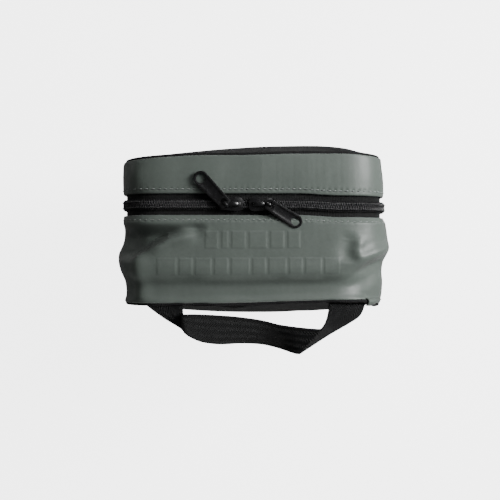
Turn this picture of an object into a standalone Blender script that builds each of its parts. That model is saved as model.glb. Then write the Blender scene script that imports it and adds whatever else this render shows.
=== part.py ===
"""Zipped soft pouch for airway tools, standing on its spine with the zip on top.

Frame: metres, +Z up, origin on the underside of the spine, midway along X, where the case half stands.
The zip runs up both sides and over the top. The case half is the deep one (-Y) and carries the handle.
The lid half (+Y) swings open on a flexible hinge strip at the bottom.
"""
import math

import bmesh
import bpy
from mathutils import Matrix, Vector

MM = 0.001

# Driving dimensions
WIDTH = 179 * MM
HEIGHT = 200 * MM
TOP_RADIUS = 38 * MM
FOOT_RADIUS = 14 * MM
SMALLEST_RADIUS = 2 * MM
WALL = 2.0 * MM
GAP = 0.3 * MM

# The five seam lines across the gusset, from the back seam to the front seam
CASE_SEAM_Y = -49.2 * MM
CASE_EDGE_Y = 8.2 * MM
CHAIN_Y = 15.35 * MM
LID_EDGE_Y = 22.5 * MM
LID_SEAM_Y = 49.2 * MM

# The walls end and the spine starts just above the foot corners
SPINE_TOP = 22 * MM

# Zip: woven tape under the wall edges, coil chain on its outer face
TAPE = 0.7 * MM
TAPE_LAP = 10 * MM
CHAIN_GAP = 1.0 * MM
COIL_WIDTH = 3.1 * MM
COIL_HEIGHT = 2.4 * MM
TAPE_INSET = WALL + GAP
COIL_INSET = TAPE_INSET - GAP - COIL_HEIGHT

# Panels: domed coated sheet, foam pad and lining
DOME = 9.2 * MM
DOME_RUN = 28 * MM
DOME_RINGS = (0, 0.12, 0.32, 0.6, 1.0)
PANEL = 1.2 * MM
PANEL_SET_BACK = 1.2 * MM
PANEL_INSET = WALL + GAP
BINDING_RADIUS = 1.1 * MM
BINDING_INSET = 4.2 * MM
BINDING_DEPTH = 4.3 * MM
FOAM = 4 * MM
FOAM_INSET = 6 * MM
FOAM_DEPTH = 3 * MM
LINING = 0.8 * MM
LINING_INSET = 4.5 * MM
LINING_DEPTH = FOAM_DEPTH + FOAM + GAP

# Hinge strip along the bottom
HINGE = 1.5 * MM
HINGE_HALF = WIDTH / 2 - FOOT_RADIUS

# Interior holders
LOOP_BAND = 1.2 * MM
LOOP_WIDTH = 25 * MM
LOOP_COUNT = 4
LOOP_STEPS = 8
LOOP_RISE = 14 * MM
LOOP_HALF_SPAN = 66 * MM
LOOP_HEIGHTS = {"loops_lower": 62 * MM, "loops_upper": 138 * MM}
POCKET = 0.8 * MM
POCKET_HALF = 68 * MM
POCKET_LOW = 18 * MM
POCKET_HIGH = 118 * MM
POCKET_RISE = 9 * MM
POCKET_HEM = 10 * MM
POCKET_STEPS = 10

# Sliders, their bails and their pulls
SLIDER_LENGTH = 15.5 * MM
SLIDER_WIDTH = 9.6 * MM
SLIDER_PLATE = 1.2 * MM
POST_THICK = 0.4 * MM
POST_LENGTH = 3.5 * MM
POST_REACH = 0.9
FLANGE_THICK = 0.9 * MM
BAIL_WIRE = 0.55 * MM
BAIL_RADIUS = 2.05 * MM
BAIL_STEPS = 10
PULL_THICK = 1.6 * MM
PULL_BAR = 0.8 * MM
PULL_CHAMFER = 0.8 * MM
PULL_END_STEPS = 8
EYE_FRAME = 1.5 * MM
EYE_CLEARANCE = 0.6 * MM
HOLE_SIDES = 14
PULL_TILT = math.radians(3)
PULL_LIFT = 1.5 * MM
# For each side: slider centre, pull pivot, direction of the pull seen from above, its reach from the pivot,
# half its width at the base and at the round end, and the radius of its hole
SLIDERS = {
    "left": {"x": -14.0 * MM, "pivot": -17.7 * MM, "turn": math.radians(134), "length": 28.7 * MM,
             "base": 3.85 * MM, "end": 4.9 * MM, "hole": 3.2 * MM},
    "right": {"x": 5.4 * MM, "pivot": 10.6 * MM, "turn": math.radians(-32.5), "length": 25.8 * MM,
              "base": 3.7 * MM, "end": 4.5 * MM, "hole": 2.9 * MM},
}

# Carrying handle of 25 mm webbing: where each leg leaves the seam, and the line it swings on
WEBBING = 1.8 * MM
LEG_X = {"left": (-71.8 * MM, -46.8 * MM), "right": (76.4 * MM, 51.4 * MM)}
LEG_SWING_X = {"left": (-66.3 * MM, -46.6 * MM), "right": (75.6 * MM, 51.2 * MM)}
LEG_INSET = 0.1 * MM
SEAM_OUT_Y = CASE_SEAM_Y - 0.6 * MM
SWING_Y = CASE_SEAM_Y - 6.0 * MM
SWING_Z = HEIGHT - 6.0 * MM
SWING_GAP = 1.0 * MM
LEG_COLUMNS = 6
# Rows of a leg from the seam to its swing line; it follows the wall at first and lies flat at the end
LEG_ROWS = (0, 0.2, 0.5, 0.8, 1)
LEG_BEND_FROM = 0.2
LEG_BEND_LENGTH = 0.6
# Outer and inner edge of the strap from the left leg round to the right leg, as x and the drop below the swing line
HANDLE_EDGES = [
    ((-66.3, 0.0), (-46.6, 0.0)), ((-57.0, 6.8), (-46.6, 2.6)), ((-43.0, 16.8), (-46.2, 2.9)),
    ((-31.0, 22.4), (-38.0, 3.0)), ((-16.0, 24.4), (-20.0, 3.8)), ((0.0, 23.8), (0.0, 6.0)),
    ((15.0, 25.2), (15.0, 9.4)), ((29.7, 28.8), (28.0, 11.6)), ((50.0, 17.8), (45.0, 10.4)),
    ((71.2, 6.2), (50.4, 3.4)), ((75.6, 0.0), (51.2, 0.0)),
]
HANDLE_COLUMNS = 4
TAIL_DEPTH = 6.0 * MM
TAIL_LENGTH = 18 * MM
TAIL_NARROWING = 0.04

# Small tab folded over each end of the zip
TAB = 1.0 * MM
TAB_LOW = 16 * MM
TAB_HIGH = 27 * MM
TAB_LAP = 5 * MM

ARC_STEPS = 7
TUBE_RESOLUTION = 2

# Base colour, roughness and metallic share of each finish
COLOURS = {
    "coated_fabric": ((0.135, 0.152, 0.141), 0.42, 0.0),
    "black_fabric": ((0.014, 0.015, 0.016), 0.60, 0.0),
    "webbing": ((0.018, 0.019, 0.020), 0.75, 0.0),
    "zip_tape": ((0.012, 0.012, 0.013), 0.80, 0.0),
    "zip_coil": ((0.010, 0.010, 0.011), 0.45, 0.0),
    "enamel": ((0.010, 0.010, 0.011), 0.30, 0.6),
    "foam": ((0.070, 0.072, 0.075), 0.90, 0.0),
    "lining": ((0.040, 0.042, 0.045), 0.85, 0.0),
    "elastic": ((0.016, 0.016, 0.018), 0.80, 0.0),
    "mesh": ((0.020, 0.020, 0.022), 0.80, 0.0),
}


def clear_scene():
    """Remove whatever is in the scene."""
    for thing in list(bpy.data.objects):
        bpy.data.objects.remove(thing, do_unlink=True)


def new_collection(name):
    """A collection linked to the scene."""
    group = bpy.data.collections.new(name)
    bpy.context.scene.collection.children.link(group)
    return group


clear_scene()
PARTS = new_collection("airway_pouch")
CUTTERS = new_collection("cutters")


def dress(thing, finish):
    """Give an object its own material, in the colour of its finish."""
    colour, roughness, metallic = COLOURS[finish]
    skin = bpy.data.materials.new(thing.name)
    skin.use_nodes = True
    shader = skin.node_tree.nodes["Principled BSDF"]
    shader.inputs["Base Color"].default_value = (*colour, 1.0)
    shader.inputs["Roughness"].default_value = roughness
    shader.inputs["Metallic"].default_value = metallic
    thing.data.materials.append(skin)


def mesh_object(name, build, finish):
    """A named object whose mesh is filled in by build(bm)."""
    bm = bmesh.new()
    build(bm)
    mesh = bpy.data.meshes.new(name)
    bm.to_mesh(mesh)
    bm.free()
    thing = bpy.data.objects.new(name, mesh)
    PARTS.objects.link(thing)
    dress(thing, finish)
    return thing


def solidify(thing, thickness):
    """Thicken an open sheet away from the side that its faces look to."""
    shell = thing.modifiers.new("Thickness", "SOLIDIFY")
    shell.thickness = thickness
    shell.offset = -1
    shell.use_even_offset = True


def arc(centre, radius, start, end, steps=ARC_STEPS):
    """Points on an arc in a plane, angles from its first axis towards its second."""
    points = []
    for i in range(steps + 1):
        angle = start + (end - start) * i / steps
        points.append((centre[0] + radius * math.cos(angle), centre[1] + radius * math.sin(angle)))
    return points


def corners(inset):
    """Centre and radius of the top and foot corners of the outline, moved in by inset."""
    top_radius = max(TOP_RADIUS - inset, SMALLEST_RADIUS)
    foot_radius = max(FOOT_RADIUS - inset, SMALLEST_RADIUS)
    half = WIDTH / 2 - inset
    top = (half - top_radius, HEIGHT - inset - top_radius, top_radius)
    foot = (half - foot_radius, inset + foot_radius, foot_radius)
    return half, top, foot


def wall_path(inset, low):
    """Inverted U: up the left side, over the top and down the right side."""
    half, (cx, cz, radius), _ = corners(inset)
    left = arc((-cx, cz), radius, math.pi, math.pi / 2)
    right = arc((cx, cz), radius, math.pi / 2, 0)
    return [(-half, low)] + left + right + [(half, low)]


def tape_path(inset):
    """The wall path carried on round both foot corners, to the ends of the hinge strip."""
    _, _, (cx, cz, radius) = corners(inset)
    left = arc((-cx, cz), radius, -math.pi / 2, -math.pi)
    right = arc((cx, cz), radius, 0, -math.pi / 2)
    return left + wall_path(inset, cz)[1:-1] + right


def spine_path(inset, high):
    """U: down the right side, along the bottom and up the left side."""
    half, _, (cx, cz, radius) = corners(inset)
    right = arc((cx, cz), radius, 0, -math.pi / 2)
    left = arc((-cx, cz), radius, -math.pi / 2, -math.pi)
    return [(half, high)] + right + left + [(-half, high)]


def ring_path(inset):
    """The whole rounded outline as a closed loop."""
    _, top, foot = corners(inset)
    points = arc((-top[0], top[1]), top[2], math.pi, math.pi / 2)
    points += arc((top[0], top[1]), top[2], math.pi / 2, 0)
    points += arc((foot[0], foot[1]), foot[2], 0, -math.pi / 2)
    points += arc((-foot[0], foot[1]), foot[2], -math.pi / 2, -math.pi)
    return points


def band(name, path, near_y, far_y, thickness, finish):
    """A strip of sheet along a path in XZ, from near_y to far_y, thickened inwards."""

    def build(bm):
        near = [bm.verts.new((x, near_y, z)) for x, z in path]
        far = [bm.verts.new((x, far_y, z)) for x, z in path]
        for i in range(len(path) - 1):
            bm.faces.new((near[i], near[i + 1], far[i + 1], far[i]))

    solidify(mesh_object(name, build, finish), thickness)


def flat_outline(name, outlines, thickness, finish):
    """A flat piece cut from sheet: the first outline is its edge and the others are holes."""
    curve = bpy.data.curves.new(name, "CURVE")
    curve.dimensions = "2D"
    curve.fill_mode = "BOTH"
    curve.extrude = thickness / 2
    for outline in outlines:
        spline = curve.splines.new("POLY")
        spline.points.add(len(outline) - 1)
        for point, (x, y) in zip(spline.points, outline):
            point.co = (x, y, 0, 1)
        spline.use_cyclic_u = True
    thing = bpy.data.objects.new(name, curve)
    PARTS.objects.link(thing)
    dress(thing, finish)
    return thing


def plate(name, inset, seam_y, side, depth, thickness, finish):
    """A flat sheet inside the outline; depth is from the seam, side is +1 on the lid and -1 on the case."""
    sheet = flat_outline(name, [ring_path(inset)], thickness, finish)
    sheet.rotation_euler = (math.pi / 2, 0, 0)
    sheet.location = (0, seam_y - side * (depth + thickness / 2), 0)


def dome_height(inset):
    """How far the padded panel has risen at a distance in from its rim."""
    left = 1 - min(inset / DOME_RUN, 1)
    return DOME * (1 - left * left)


def domed_panel(name, seam_y, side, finish):
    """A sheet over the whole outline that swells outwards from its rim."""

    def build(bm):
        rings = []
        for share in DOME_RINGS:
            inset = DOME_RUN * share
            y = seam_y - side * PANEL_SET_BACK + side * dome_height(inset)
            rings.append([bm.verts.new((x, y, z)) for x, z in ring_path(PANEL_INSET + inset)])
        for outer, inner in zip(rings, rings[1:]):
            for i in range(len(outer)):
                j = (i + 1) % len(outer)
                bm.faces.new((outer[i], outer[j], inner[j], inner[i]))
        crown = bm.faces.new(rings[-1])
        bm.normal_update()
        if crown.normal.y * side < 0:
            bmesh.ops.reverse_faces(bm, faces=bm.faces)

    solidify(mesh_object(name, build, finish), PANEL)


def tube(name, points, radius, finish, closed=False):
    """A round wire or cord along a list of points."""
    curve = bpy.data.curves.new(name, "CURVE")
    curve.dimensions = "3D"
    curve.bevel_depth = radius
    curve.bevel_resolution = TUBE_RESOLUTION
    curve.use_fill_caps = not closed
    spline = curve.splines.new("POLY")
    spline.points.add(len(points) - 1)
    for point, place in zip(spline.points, points):
        point.co = (*place, 1)
    spline.use_cyclic_u = closed
    thing = bpy.data.objects.new(name, curve)
    PARTS.objects.link(thing)
    dress(thing, finish)


def box_mesh(bm, low, high):
    """Add a box between two corners."""
    made = bmesh.ops.create_cube(bm, size=1)
    size = Vector(high) - Vector(low)
    middle = (Vector(high) + Vector(low)) / 2
    bmesh.ops.scale(bm, vec=size, verts=made["verts"])
    bmesh.ops.translate(bm, vec=middle, verts=made["verts"])


def box(name, low, high, finish):
    """A plain block as a part."""
    return mesh_object(name, lambda bm: box_mesh(bm, low, high), finish)


def joined_block(owner, name, low, high):
    """Join a block to a part with a Boolean union; the block itself is only a helper."""
    bm = bmesh.new()
    box_mesh(bm, low, high)
    mesh = bpy.data.meshes.new(name)
    bm.to_mesh(mesh)
    bm.free()
    helper = bpy.data.objects.new(name, mesh)
    CUTTERS.objects.link(helper)
    helper.hide_render = True
    helper.display_type = "WIRE"
    union = owner.modifiers.new(name, "BOOLEAN")
    union.operation = "UNION"
    union.solver = "EXACT"
    union.object = helper


def make_half(prefix, seam_y, edge_y, side, panel_name):
    """The shell, panel, padding, lining and binding of the case or the lid."""
    near, far = sorted((seam_y, edge_y))
    band(prefix + "_gusset", wall_path(0, SPINE_TOP + GAP), near, far, WALL, "coated_fabric")
    band(prefix + "_spine", spine_path(0, SPINE_TOP), near, far, WALL, "coated_fabric")
    domed_panel(panel_name, seam_y, side, "black_fabric")
    plate(prefix + "_foam_pad", FOAM_INSET, seam_y, side, FOAM_DEPTH, FOAM, "foam")
    plate(prefix + "_lining", LINING_INSET, seam_y, side, LINING_DEPTH, LINING, "lining")
    y = seam_y - side * BINDING_DEPTH
    loop = [(x, y, z) for x, z in ring_path(BINDING_INSET)]
    tube(prefix + "_seam_binding", loop, BINDING_RADIUS, "black_fabric", closed=True)


def make_zip_half(prefix, edge_y, side):
    """Tape and coil of one half; side is the way from the chain to the wall."""
    chain_y = CHAIN_Y + side * CHAIN_GAP / 2
    near, far = sorted((chain_y, edge_y + side * TAPE_LAP))
    band(prefix + "_zip_tape", tape_path(TAPE_INSET), near, far, TAPE, "zip_tape")
    near, far = sorted((chain_y, chain_y + side * COIL_WIDTH))
    band(prefix + "_zip_coil", wall_path(COIL_INSET, TAB_HIGH + GAP), near, far, COIL_HEIGHT, "zip_coil")


def make_hinge():
    """The fabric strip that joins the two spines along the bottom."""
    low = (-HINGE_HALF, CASE_EDGE_Y + GAP, 0)
    high = (HINGE_HALF, LID_EDGE_Y - GAP, HINGE)
    box("hinge_strip", low, high, "coated_fabric")


def make_zip_tabs():
    """A tab folded over each end of the zip, sewn to the case wall."""
    near_y = CASE_EDGE_Y - TAB_LAP
    far_y = CHAIN_Y - CHAIN_GAP / 2
    outer = WIDTH / 2 + GAP + TAB
    inner = WIDTH / 2 + GAP
    box("zip_end_tab_left", (-outer, near_y, TAB_LOW), (-inner, far_y, TAB_HIGH), "black_fabric")
    box("zip_end_tab_right", (inner, near_y, TAB_LOW), (outer, far_y, TAB_HIGH), "black_fabric")


def upright_sheet(name, path, low_z, high_z, thickness, finish):
    """A sheet that stands on a path in XY, thickened to the left of the way along the path."""

    def build(bm):
        low = [bm.verts.new((x, y, low_z)) for x, y in path]
        high = [bm.verts.new((x, y, high_z)) for x, y in path]
        for i in range(len(path) - 1):
            bm.faces.new((low[i], low[i + 1], high[i + 1], high[i]))

    solidify(mesh_object(name, build, finish), thickness)


def make_loops():
    """Two elastic bands on the case lining, each sewn down between open loops."""
    base_y = CASE_SEAM_Y + LINING_DEPTH + LINING + GAP
    pitch = 2 * LOOP_HALF_SPAN / LOOP_COUNT
    path = []
    for i in range(LOOP_COUNT * LOOP_STEPS + 1):
        x = -LOOP_HALF_SPAN + pitch * i / LOOP_STEPS
        rise = LOOP_RISE * math.sin(math.pi * i / LOOP_STEPS) ** 2
        path.append((x, base_y + LOOP_BAND + rise))
    path.reverse()
    for name, height in LOOP_HEIGHTS.items():
        upright_sheet(name, path, height - LOOP_WIDTH / 2, height + LOOP_WIDTH / 2, LOOP_BAND, "elastic")


def make_pocket():
    """A mesh pocket on the lid lining with an elastic hem along its open edge."""
    base_y = LID_SEAM_Y - LINING_DEPTH - LINING - GAP
    path = []
    for i in range(POCKET_STEPS + 1):
        x = -POCKET_HALF + 2 * POCKET_HALF * i / POCKET_STEPS
        path.append((x, base_y - POCKET - POCKET_RISE * math.sin(math.pi * i / POCKET_STEPS)))
    hem_low = POCKET_HIGH - POCKET_HEM
    upright_sheet("mesh_pocket", path, POCKET_LOW, hem_low - GAP, POCKET, "mesh")
    upright_sheet("pocket_elastic", path, hem_low, POCKET_HIGH, POCKET, "elastic")


def make_slider(side, facts):
    """Slider body around the chain: two plates, a post between the coils and a flange on the case side.

    Returns the height of its upper face.
    """
    x = facts["x"]
    half_x = SLIDER_LENGTH / 2
    half_y = SLIDER_WIDTH / 2
    top_low = HEIGHT - COIL_INSET + GAP
    top_high = top_low + SLIDER_PLATE
    bottom_high = HEIGHT - TAPE_INSET - TAPE - GAP
    bottom_low = bottom_high - SLIDER_PLATE
    name = "slider_" + side
    body = box(name, (x - half_x, CHAIN_Y - half_y, top_low), (x + half_x, CHAIN_Y + half_y, top_high), "enamel")
    joined_block(body, name + "_sole", (x - half_x, CHAIN_Y - half_y, bottom_low),
                 (x + half_x, CHAIN_Y + half_y, bottom_high))
    inward = -1 if side == "right" else 1
    post_from = x + inward * half_x * POST_REACH
    post_to = post_from - inward * POST_LENGTH
    lap = SLIDER_PLATE / 2
    joined_block(body, name + "_post",
                 (min(post_from, post_to), CHAIN_Y - POST_THICK / 2, bottom_high - lap),
                 (max(post_from, post_to), CHAIN_Y + POST_THICK / 2, top_low + lap))
    flange_y = CHAIN_Y - half_y
    joined_block(body, name + "_flange", (x - half_x, flange_y, HEIGHT - TAPE_INSET + GAP),
                 (x + half_x, flange_y + FLANGE_THICK, top_low + lap))
    return top_high


def make_bail(side, facts, plate_top):
    """Wire bail over the slider, in the upright plane of its pull; returns the pull's pivot."""
    pivot = Vector((facts["pivot"], CHAIN_Y, plate_top + PULL_LIFT))
    along = Vector((math.cos(facts["turn"]), math.sin(facts["turn"]), 0))
    up = Vector((0, 0, 1))
    foot = Vector((0, 0, plate_top + GAP - pivot.z))
    points = [pivot + along * BAIL_RADIUS + foot]
    for i in range(BAIL_STEPS + 1):
        angle = math.pi * i / BAIL_STEPS
        points.append(pivot + along * (BAIL_RADIUS * math.cos(angle)) + up * (BAIL_RADIUS * math.sin(angle)))
    points.append(pivot - along * BAIL_RADIUS + foot)
    tube("bail_" + side, points, BAIL_WIRE, "enamel")
    return pivot


def make_pull(side, facts, pivot):
    """Flat die-cast pull: an eye round the bail at one end and a round hole at the other."""
    base, end = facts["base"], facts["end"]
    far = facts["length"] - end
    eye_near, eye_far = PULL_BAR, BAIL_RADIUS + BAIL_WIRE + EYE_CLEARANCE
    eye_half = base - EYE_FRAME
    outline = [(-PULL_BAR, PULL_CHAMFER - base), (0, -base)]
    outline += arc((far, 0), end, -math.pi / 2, math.pi / 2, PULL_END_STEPS)
    outline += [(0, base), (-PULL_BAR, base - PULL_CHAMFER)]
    eye = [(eye_near, -eye_half), (eye_far, -eye_half), (eye_far, eye_half), (eye_near, eye_half)]
    hole = arc((far, 0), facts["hole"], 0, 2 * math.pi, HOLE_SIDES)[:-1]
    pull = flat_outline("pull_" + side, [outline, eye, hole], PULL_THICK, "enamel")
    turn = Matrix.Rotation(facts["turn"], 4, "Z") @ Matrix.Rotation(PULL_TILT, 4, "Y")
    pull.matrix_world = Matrix.Translation(pivot) @ turn


def outline_z(x, inset):
    """Height of the outline's top edge above the bottom, at a distance x from the middle."""
    _, (cx, cz, radius), _ = corners(inset)
    past = max(abs(x) - cx, 0)
    return cz + math.sqrt(radius * radius - past * past)


def sheet_between(name, rows, thickness, finish):
    """A sheet through rows of points, thickened away from the side that its faces look to."""

    def build(bm):
        grid = [[bm.verts.new(point) for point in row] for row in rows]
        for lower, upper in zip(grid, grid[1:]):
            for i in range(len(lower) - 1):
                bm.faces.new((lower[i], lower[i + 1], upper[i + 1], upper[i]))
        bm.normal_update()
        if sum(face.normal.z for face in bm.faces) < 0:
            bmesh.ops.reverse_faces(bm, faces=bm.faces)

    solidify(mesh_object(name, build, finish), thickness)


def across(first, last, count):
    """Evenly spaced values from first to last."""
    return [first + (last - first) * i / (count - 1) for i in range(count)]


def make_anchors():
    """Where each leg of the handle leaves the seam: curved like the wall, then flat at the swing line."""
    for side, (outer, inner) in LEG_X.items():
        swing_outer, swing_inner = LEG_SWING_X[side]
        rows = []
        for share in LEG_ROWS:
            y = SEAM_OUT_Y + (SWING_Y + SWING_GAP - SEAM_OUT_Y) * share
            outer_x = outer + (swing_outer - outer) * share
            xs = across(outer_x, inner + (swing_inner - inner) * share, LEG_COLUMNS)
            bend = min(max((share - LEG_BEND_FROM) / LEG_BEND_LENGTH, 0), 1)
            ease = bend * bend * (3 - 2 * bend)
            rows.append([(x, y, outline_z(x, LEG_INSET) * (1 - ease) + SWING_Z * ease) for x in xs])
        sheet_between("handle_anchor_" + side, rows, WEBBING, "webbing")


def make_tails():
    """The sewn ends of the handle webbing, lying against the inside of the case wall."""
    near_y = CASE_SEAM_Y + TAIL_DEPTH
    for side, (outer, inner) in LEG_X.items():
        xs = across(outer * (1 - TAIL_NARROWING), inner, LEG_COLUMNS)
        rows = [[(x, y, outline_z(x, TAPE_INSET)) for x in xs] for y in (near_y, near_y + TAIL_LENGTH)]
        sheet_between("handle_tail_" + side, rows, WEBBING, "webbing")


def make_handle():
    """The webbing handle as it lies: two legs and the band between them, round a finger gap."""
    rows = []
    for (outer_x, outer_drop), (inner_x, inner_drop) in HANDLE_EDGES:
        xs = across(outer_x * MM, inner_x * MM, HANDLE_COLUMNS)
        drops = across(outer_drop * MM, inner_drop * MM, HANDLE_COLUMNS)
        rows.append([(x, SWING_Y - drop, SWING_Z) for x, drop in zip(xs, drops)])
    sheet_between("handle_webbing", rows, WEBBING, "webbing")


make_half("case", CASE_SEAM_Y, CASE_EDGE_Y, -1, "case_back_panel")
make_half("lid", LID_SEAM_Y, LID_EDGE_Y, 1, "lid_front_panel")
make_zip_half("case", CASE_EDGE_Y, -1)
make_zip_half("lid", LID_EDGE_Y, 1)
make_hinge()
make_zip_tabs()
make_loops()
make_pocket()
for slider_side, slider_facts in SLIDERS.items():
    slider_top = make_slider(slider_side, slider_facts)
    slider_pivot = make_bail(slider_side, slider_facts, slider_top)
    make_pull(slider_side, slider_facts, slider_pivot)
make_anchors()
make_tails()
make_handle()
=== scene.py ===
"""Looks of the zipped airway pouch: coated walls, padded panels, coil zip, sliders and webbing handle.

Frame: metres, +Z up from the spine to the zip side, +Y from the case half to the lid half.
"s" is the distance along the outline from the middle of the top, to the right; "relief" is how far a wall
stands out from the plain outline.
"""

import math

import bmesh
import bpy
import numpy as np
from mathutils import Matrix, Vector


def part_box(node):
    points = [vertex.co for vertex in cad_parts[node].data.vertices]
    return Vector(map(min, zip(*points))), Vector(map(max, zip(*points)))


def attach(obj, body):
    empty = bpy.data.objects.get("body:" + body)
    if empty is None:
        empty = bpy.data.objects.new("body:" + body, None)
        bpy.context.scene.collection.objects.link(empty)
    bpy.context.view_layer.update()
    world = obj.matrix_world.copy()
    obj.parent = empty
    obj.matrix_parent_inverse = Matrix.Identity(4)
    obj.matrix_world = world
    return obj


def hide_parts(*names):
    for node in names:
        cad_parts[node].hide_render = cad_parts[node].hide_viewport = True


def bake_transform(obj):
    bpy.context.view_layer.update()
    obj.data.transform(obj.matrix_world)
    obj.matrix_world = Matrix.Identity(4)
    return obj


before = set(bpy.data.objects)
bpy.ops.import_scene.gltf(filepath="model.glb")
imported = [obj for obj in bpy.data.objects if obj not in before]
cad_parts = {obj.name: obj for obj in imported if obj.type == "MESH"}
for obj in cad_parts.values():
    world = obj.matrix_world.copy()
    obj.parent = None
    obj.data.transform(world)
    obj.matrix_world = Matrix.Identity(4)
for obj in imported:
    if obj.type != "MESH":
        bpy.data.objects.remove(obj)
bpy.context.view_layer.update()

MM = 0.001

# ---------------------------------------------------------------- sizes read from the frame
case_low, case_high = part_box("case_gusset")
lid_low, lid_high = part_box("lid_gusset")
coil_low, coil_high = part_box("case_zip_coil")
lid_coil_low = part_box("lid_zip_coil")[0]
panel_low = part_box("case_back_panel")[0]
hinge_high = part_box("hinge_strip")[1]

HALF = case_high.x
HEIGHT = case_high.z
TOP_RADIUS = 38 * MM
FOOT_RADIUS = HALF - hinge_high.x
CASE_SEAM_Y = case_low.y
CASE_EDGE_Y = case_high.y
LID_EDGE_Y = lid_low.y
LID_SEAM_Y = lid_high.y
CHAIN_Y = (coil_high.y + lid_coil_low.y) / 2
DOME = case_low.y - panel_low.y
COIL_END = coil_low.z

# Thickness of the walls' cloth and of the zip's tape, and how deep the tape lies
WALL = 1.6 * MM
TAPE = 0.7 * MM
TAPE_INSET = 2.2 * MM


# ---------------------------------------------------------------- small maths
def smooth(t):
    """0 to 1 with soft ends."""
    t = np.clip(t, 0, 1)
    return t * t * (3 - 2 * t)


def hill(distance, width):
    """A soft bump, 1 where distance is 0."""
    return np.exp(-(np.asarray(distance) / width) ** 2)


def grid(first, second):
    """Two coordinates over a grid, rows by columns."""
    return np.meshgrid(first, second, indexing="ij")


def stacked(*parts):
    """Coordinates of one broadcast shape joined into points."""
    return np.stack(np.broadcast_arrays(*parts), axis=-1)


def unit(vectors):
    """Vectors along the last axis, each made 1 long."""
    return vectors / np.linalg.norm(vectors, axis=-1)[..., None]


def waves(a, b, seed, scale, octaves=3):
    """Soft random relief from sums of sines over two coordinates, the same each run, about -1 to 1."""
    rng = np.random.default_rng(seed)
    total = np.zeros(np.broadcast(a, b).shape)
    for octave in range(octaves):
        for _ in range(5):
            angle, phase = rng.uniform(0, 2 * math.pi, 2)
            rate = 2 * math.pi / scale * 1.7**octave * rng.uniform(0.7, 1.3)
            total = total + np.sin(rate * (a * math.cos(angle) + b * math.sin(angle)) + phase) / 2**octave
    return total / 6.0


def to_line(s, y, points):
    """Signed distance from a bent line, positive on its left, and how far along it, 0 to 1."""
    best = np.full(np.broadcast(s, y).shape, np.inf)
    signed = np.zeros_like(best)
    along = np.zeros_like(best)
    ends = np.array(points, float)
    lengths = np.linalg.norm(np.diff(ends, axis=0), axis=1)
    total = lengths.sum()
    start = 0.0
    for (ax, ay), (bx, by), length in zip(ends, ends[1:], lengths):
        dx, dy = (bx - ax) / length, (by - ay) / length
        t = np.clip((s - ax) * dx + (y - ay) * dy, 0, length)
        px, py = s - (ax + dx * t), y - (ay + dy * t)
        distance = np.hypot(px, py)
        nearer = distance < best
        best = np.where(nearer, distance, best)
        side = np.sign(dx * py - dy * px)
        signed = np.where(nearer, distance * side, signed)
        along = np.where(nearer, (start + t) / total, along)
        start += length
    return signed, along


def spread(stops, steps):
    """Values through stops, with a step of about steps[i] between stops i and i + 1."""
    values = [stops[0]]
    for low, high, step in zip(stops, stops[1:], steps):
        count = max(1, round(abs(high - low) / step))
        values += list(np.linspace(low, high, count + 1)[1:])
    return np.array(values)


# ---------------------------------------------------------------- the pouch's outline in XZ
STRAIGHT_TOP = HALF - TOP_RADIUS
STRAIGHT_FOOT = HALF - FOOT_RADIUS
SIDE = HEIGHT - TOP_RADIUS - FOOT_RADIUS
TOP_ARC = TOP_RADIUS * math.pi / 2
FOOT_ARC = FOOT_RADIUS * math.pi / 2
# The filled pouch pushes its upper corners out, squarer than the round outline
CORNER_FILL = 4.6 * MM
# Where each stretch of the right half begins, as s
SIDE_START = STRAIGHT_TOP + TOP_ARC
FOOT_START = SIDE_START + SIDE
FLOOR_START = FOOT_START + FOOT_ARC
HALF_LOOP = FLOOR_START + STRAIGHT_FOOT


def outline(s):
    """Points (x, z) and outward normals (x, z) of the outline at distances s from the top middle."""
    s = np.asarray(s, float)
    side = np.where(s < 0, -1.0, 1.0)
    a = np.abs(s)
    top_turn = np.clip((a - STRAIGHT_TOP) / TOP_RADIUS, 0, math.pi / 2)
    foot_turn = np.clip((a - FOOT_START) / FOOT_RADIUS, 0, math.pi / 2)
    turn = top_turn + foot_turn
    square = CORNER_FILL * np.sin(2 * top_turn) ** 2
    x = np.minimum(a, STRAIGHT_TOP) + TOP_RADIUS * np.sin(top_turn) + square * np.sin(turn)
    x = x - FOOT_RADIUS * (1 - np.cos(foot_turn)) - np.maximum(a - FLOOR_START, 0)
    z = HEIGHT - TOP_RADIUS * (1 - np.cos(top_turn)) - np.clip(a - SIDE_START, 0, SIDE)
    z = z - FOOT_RADIUS * np.sin(foot_turn) + square * np.cos(turn)
    return x * side, z, np.sin(turn) * side, np.cos(turn)


def s_at(x):
    """The s of a point on the top at a sideways distance x."""
    past = min(max(abs(x) - STRAIGHT_TOP, 0), TOP_RADIUS)
    return math.copysign(min(abs(x), STRAIGHT_TOP) + TOP_RADIUS * math.asin(past / TOP_RADIUS), x)


def s_at_height(z):
    """The s of a point on the straight right side at height z."""
    return SIDE_START + (HEIGHT - TOP_RADIUS - z)


def place(s, y, inset):
    """Points of the outline moved in by inset, at each y."""
    x, z, nx, nz = outline(s)
    return stacked(x - nx * inset, y, z - nz * inset)


# ---------------------------------------------------------------- mesh building
def mesh_object(name, points, faces, smooth=True):
    """A mesh object from points and faces, linked into the scene."""
    mesh = bpy.data.meshes.new(name)
    mesh.from_pydata(points, [], faces)
    if smooth:
        mesh.shade_smooth()
    made = bpy.data.objects.new(name, mesh)
    bpy.context.scene.collection.objects.link(made)
    return made


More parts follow.
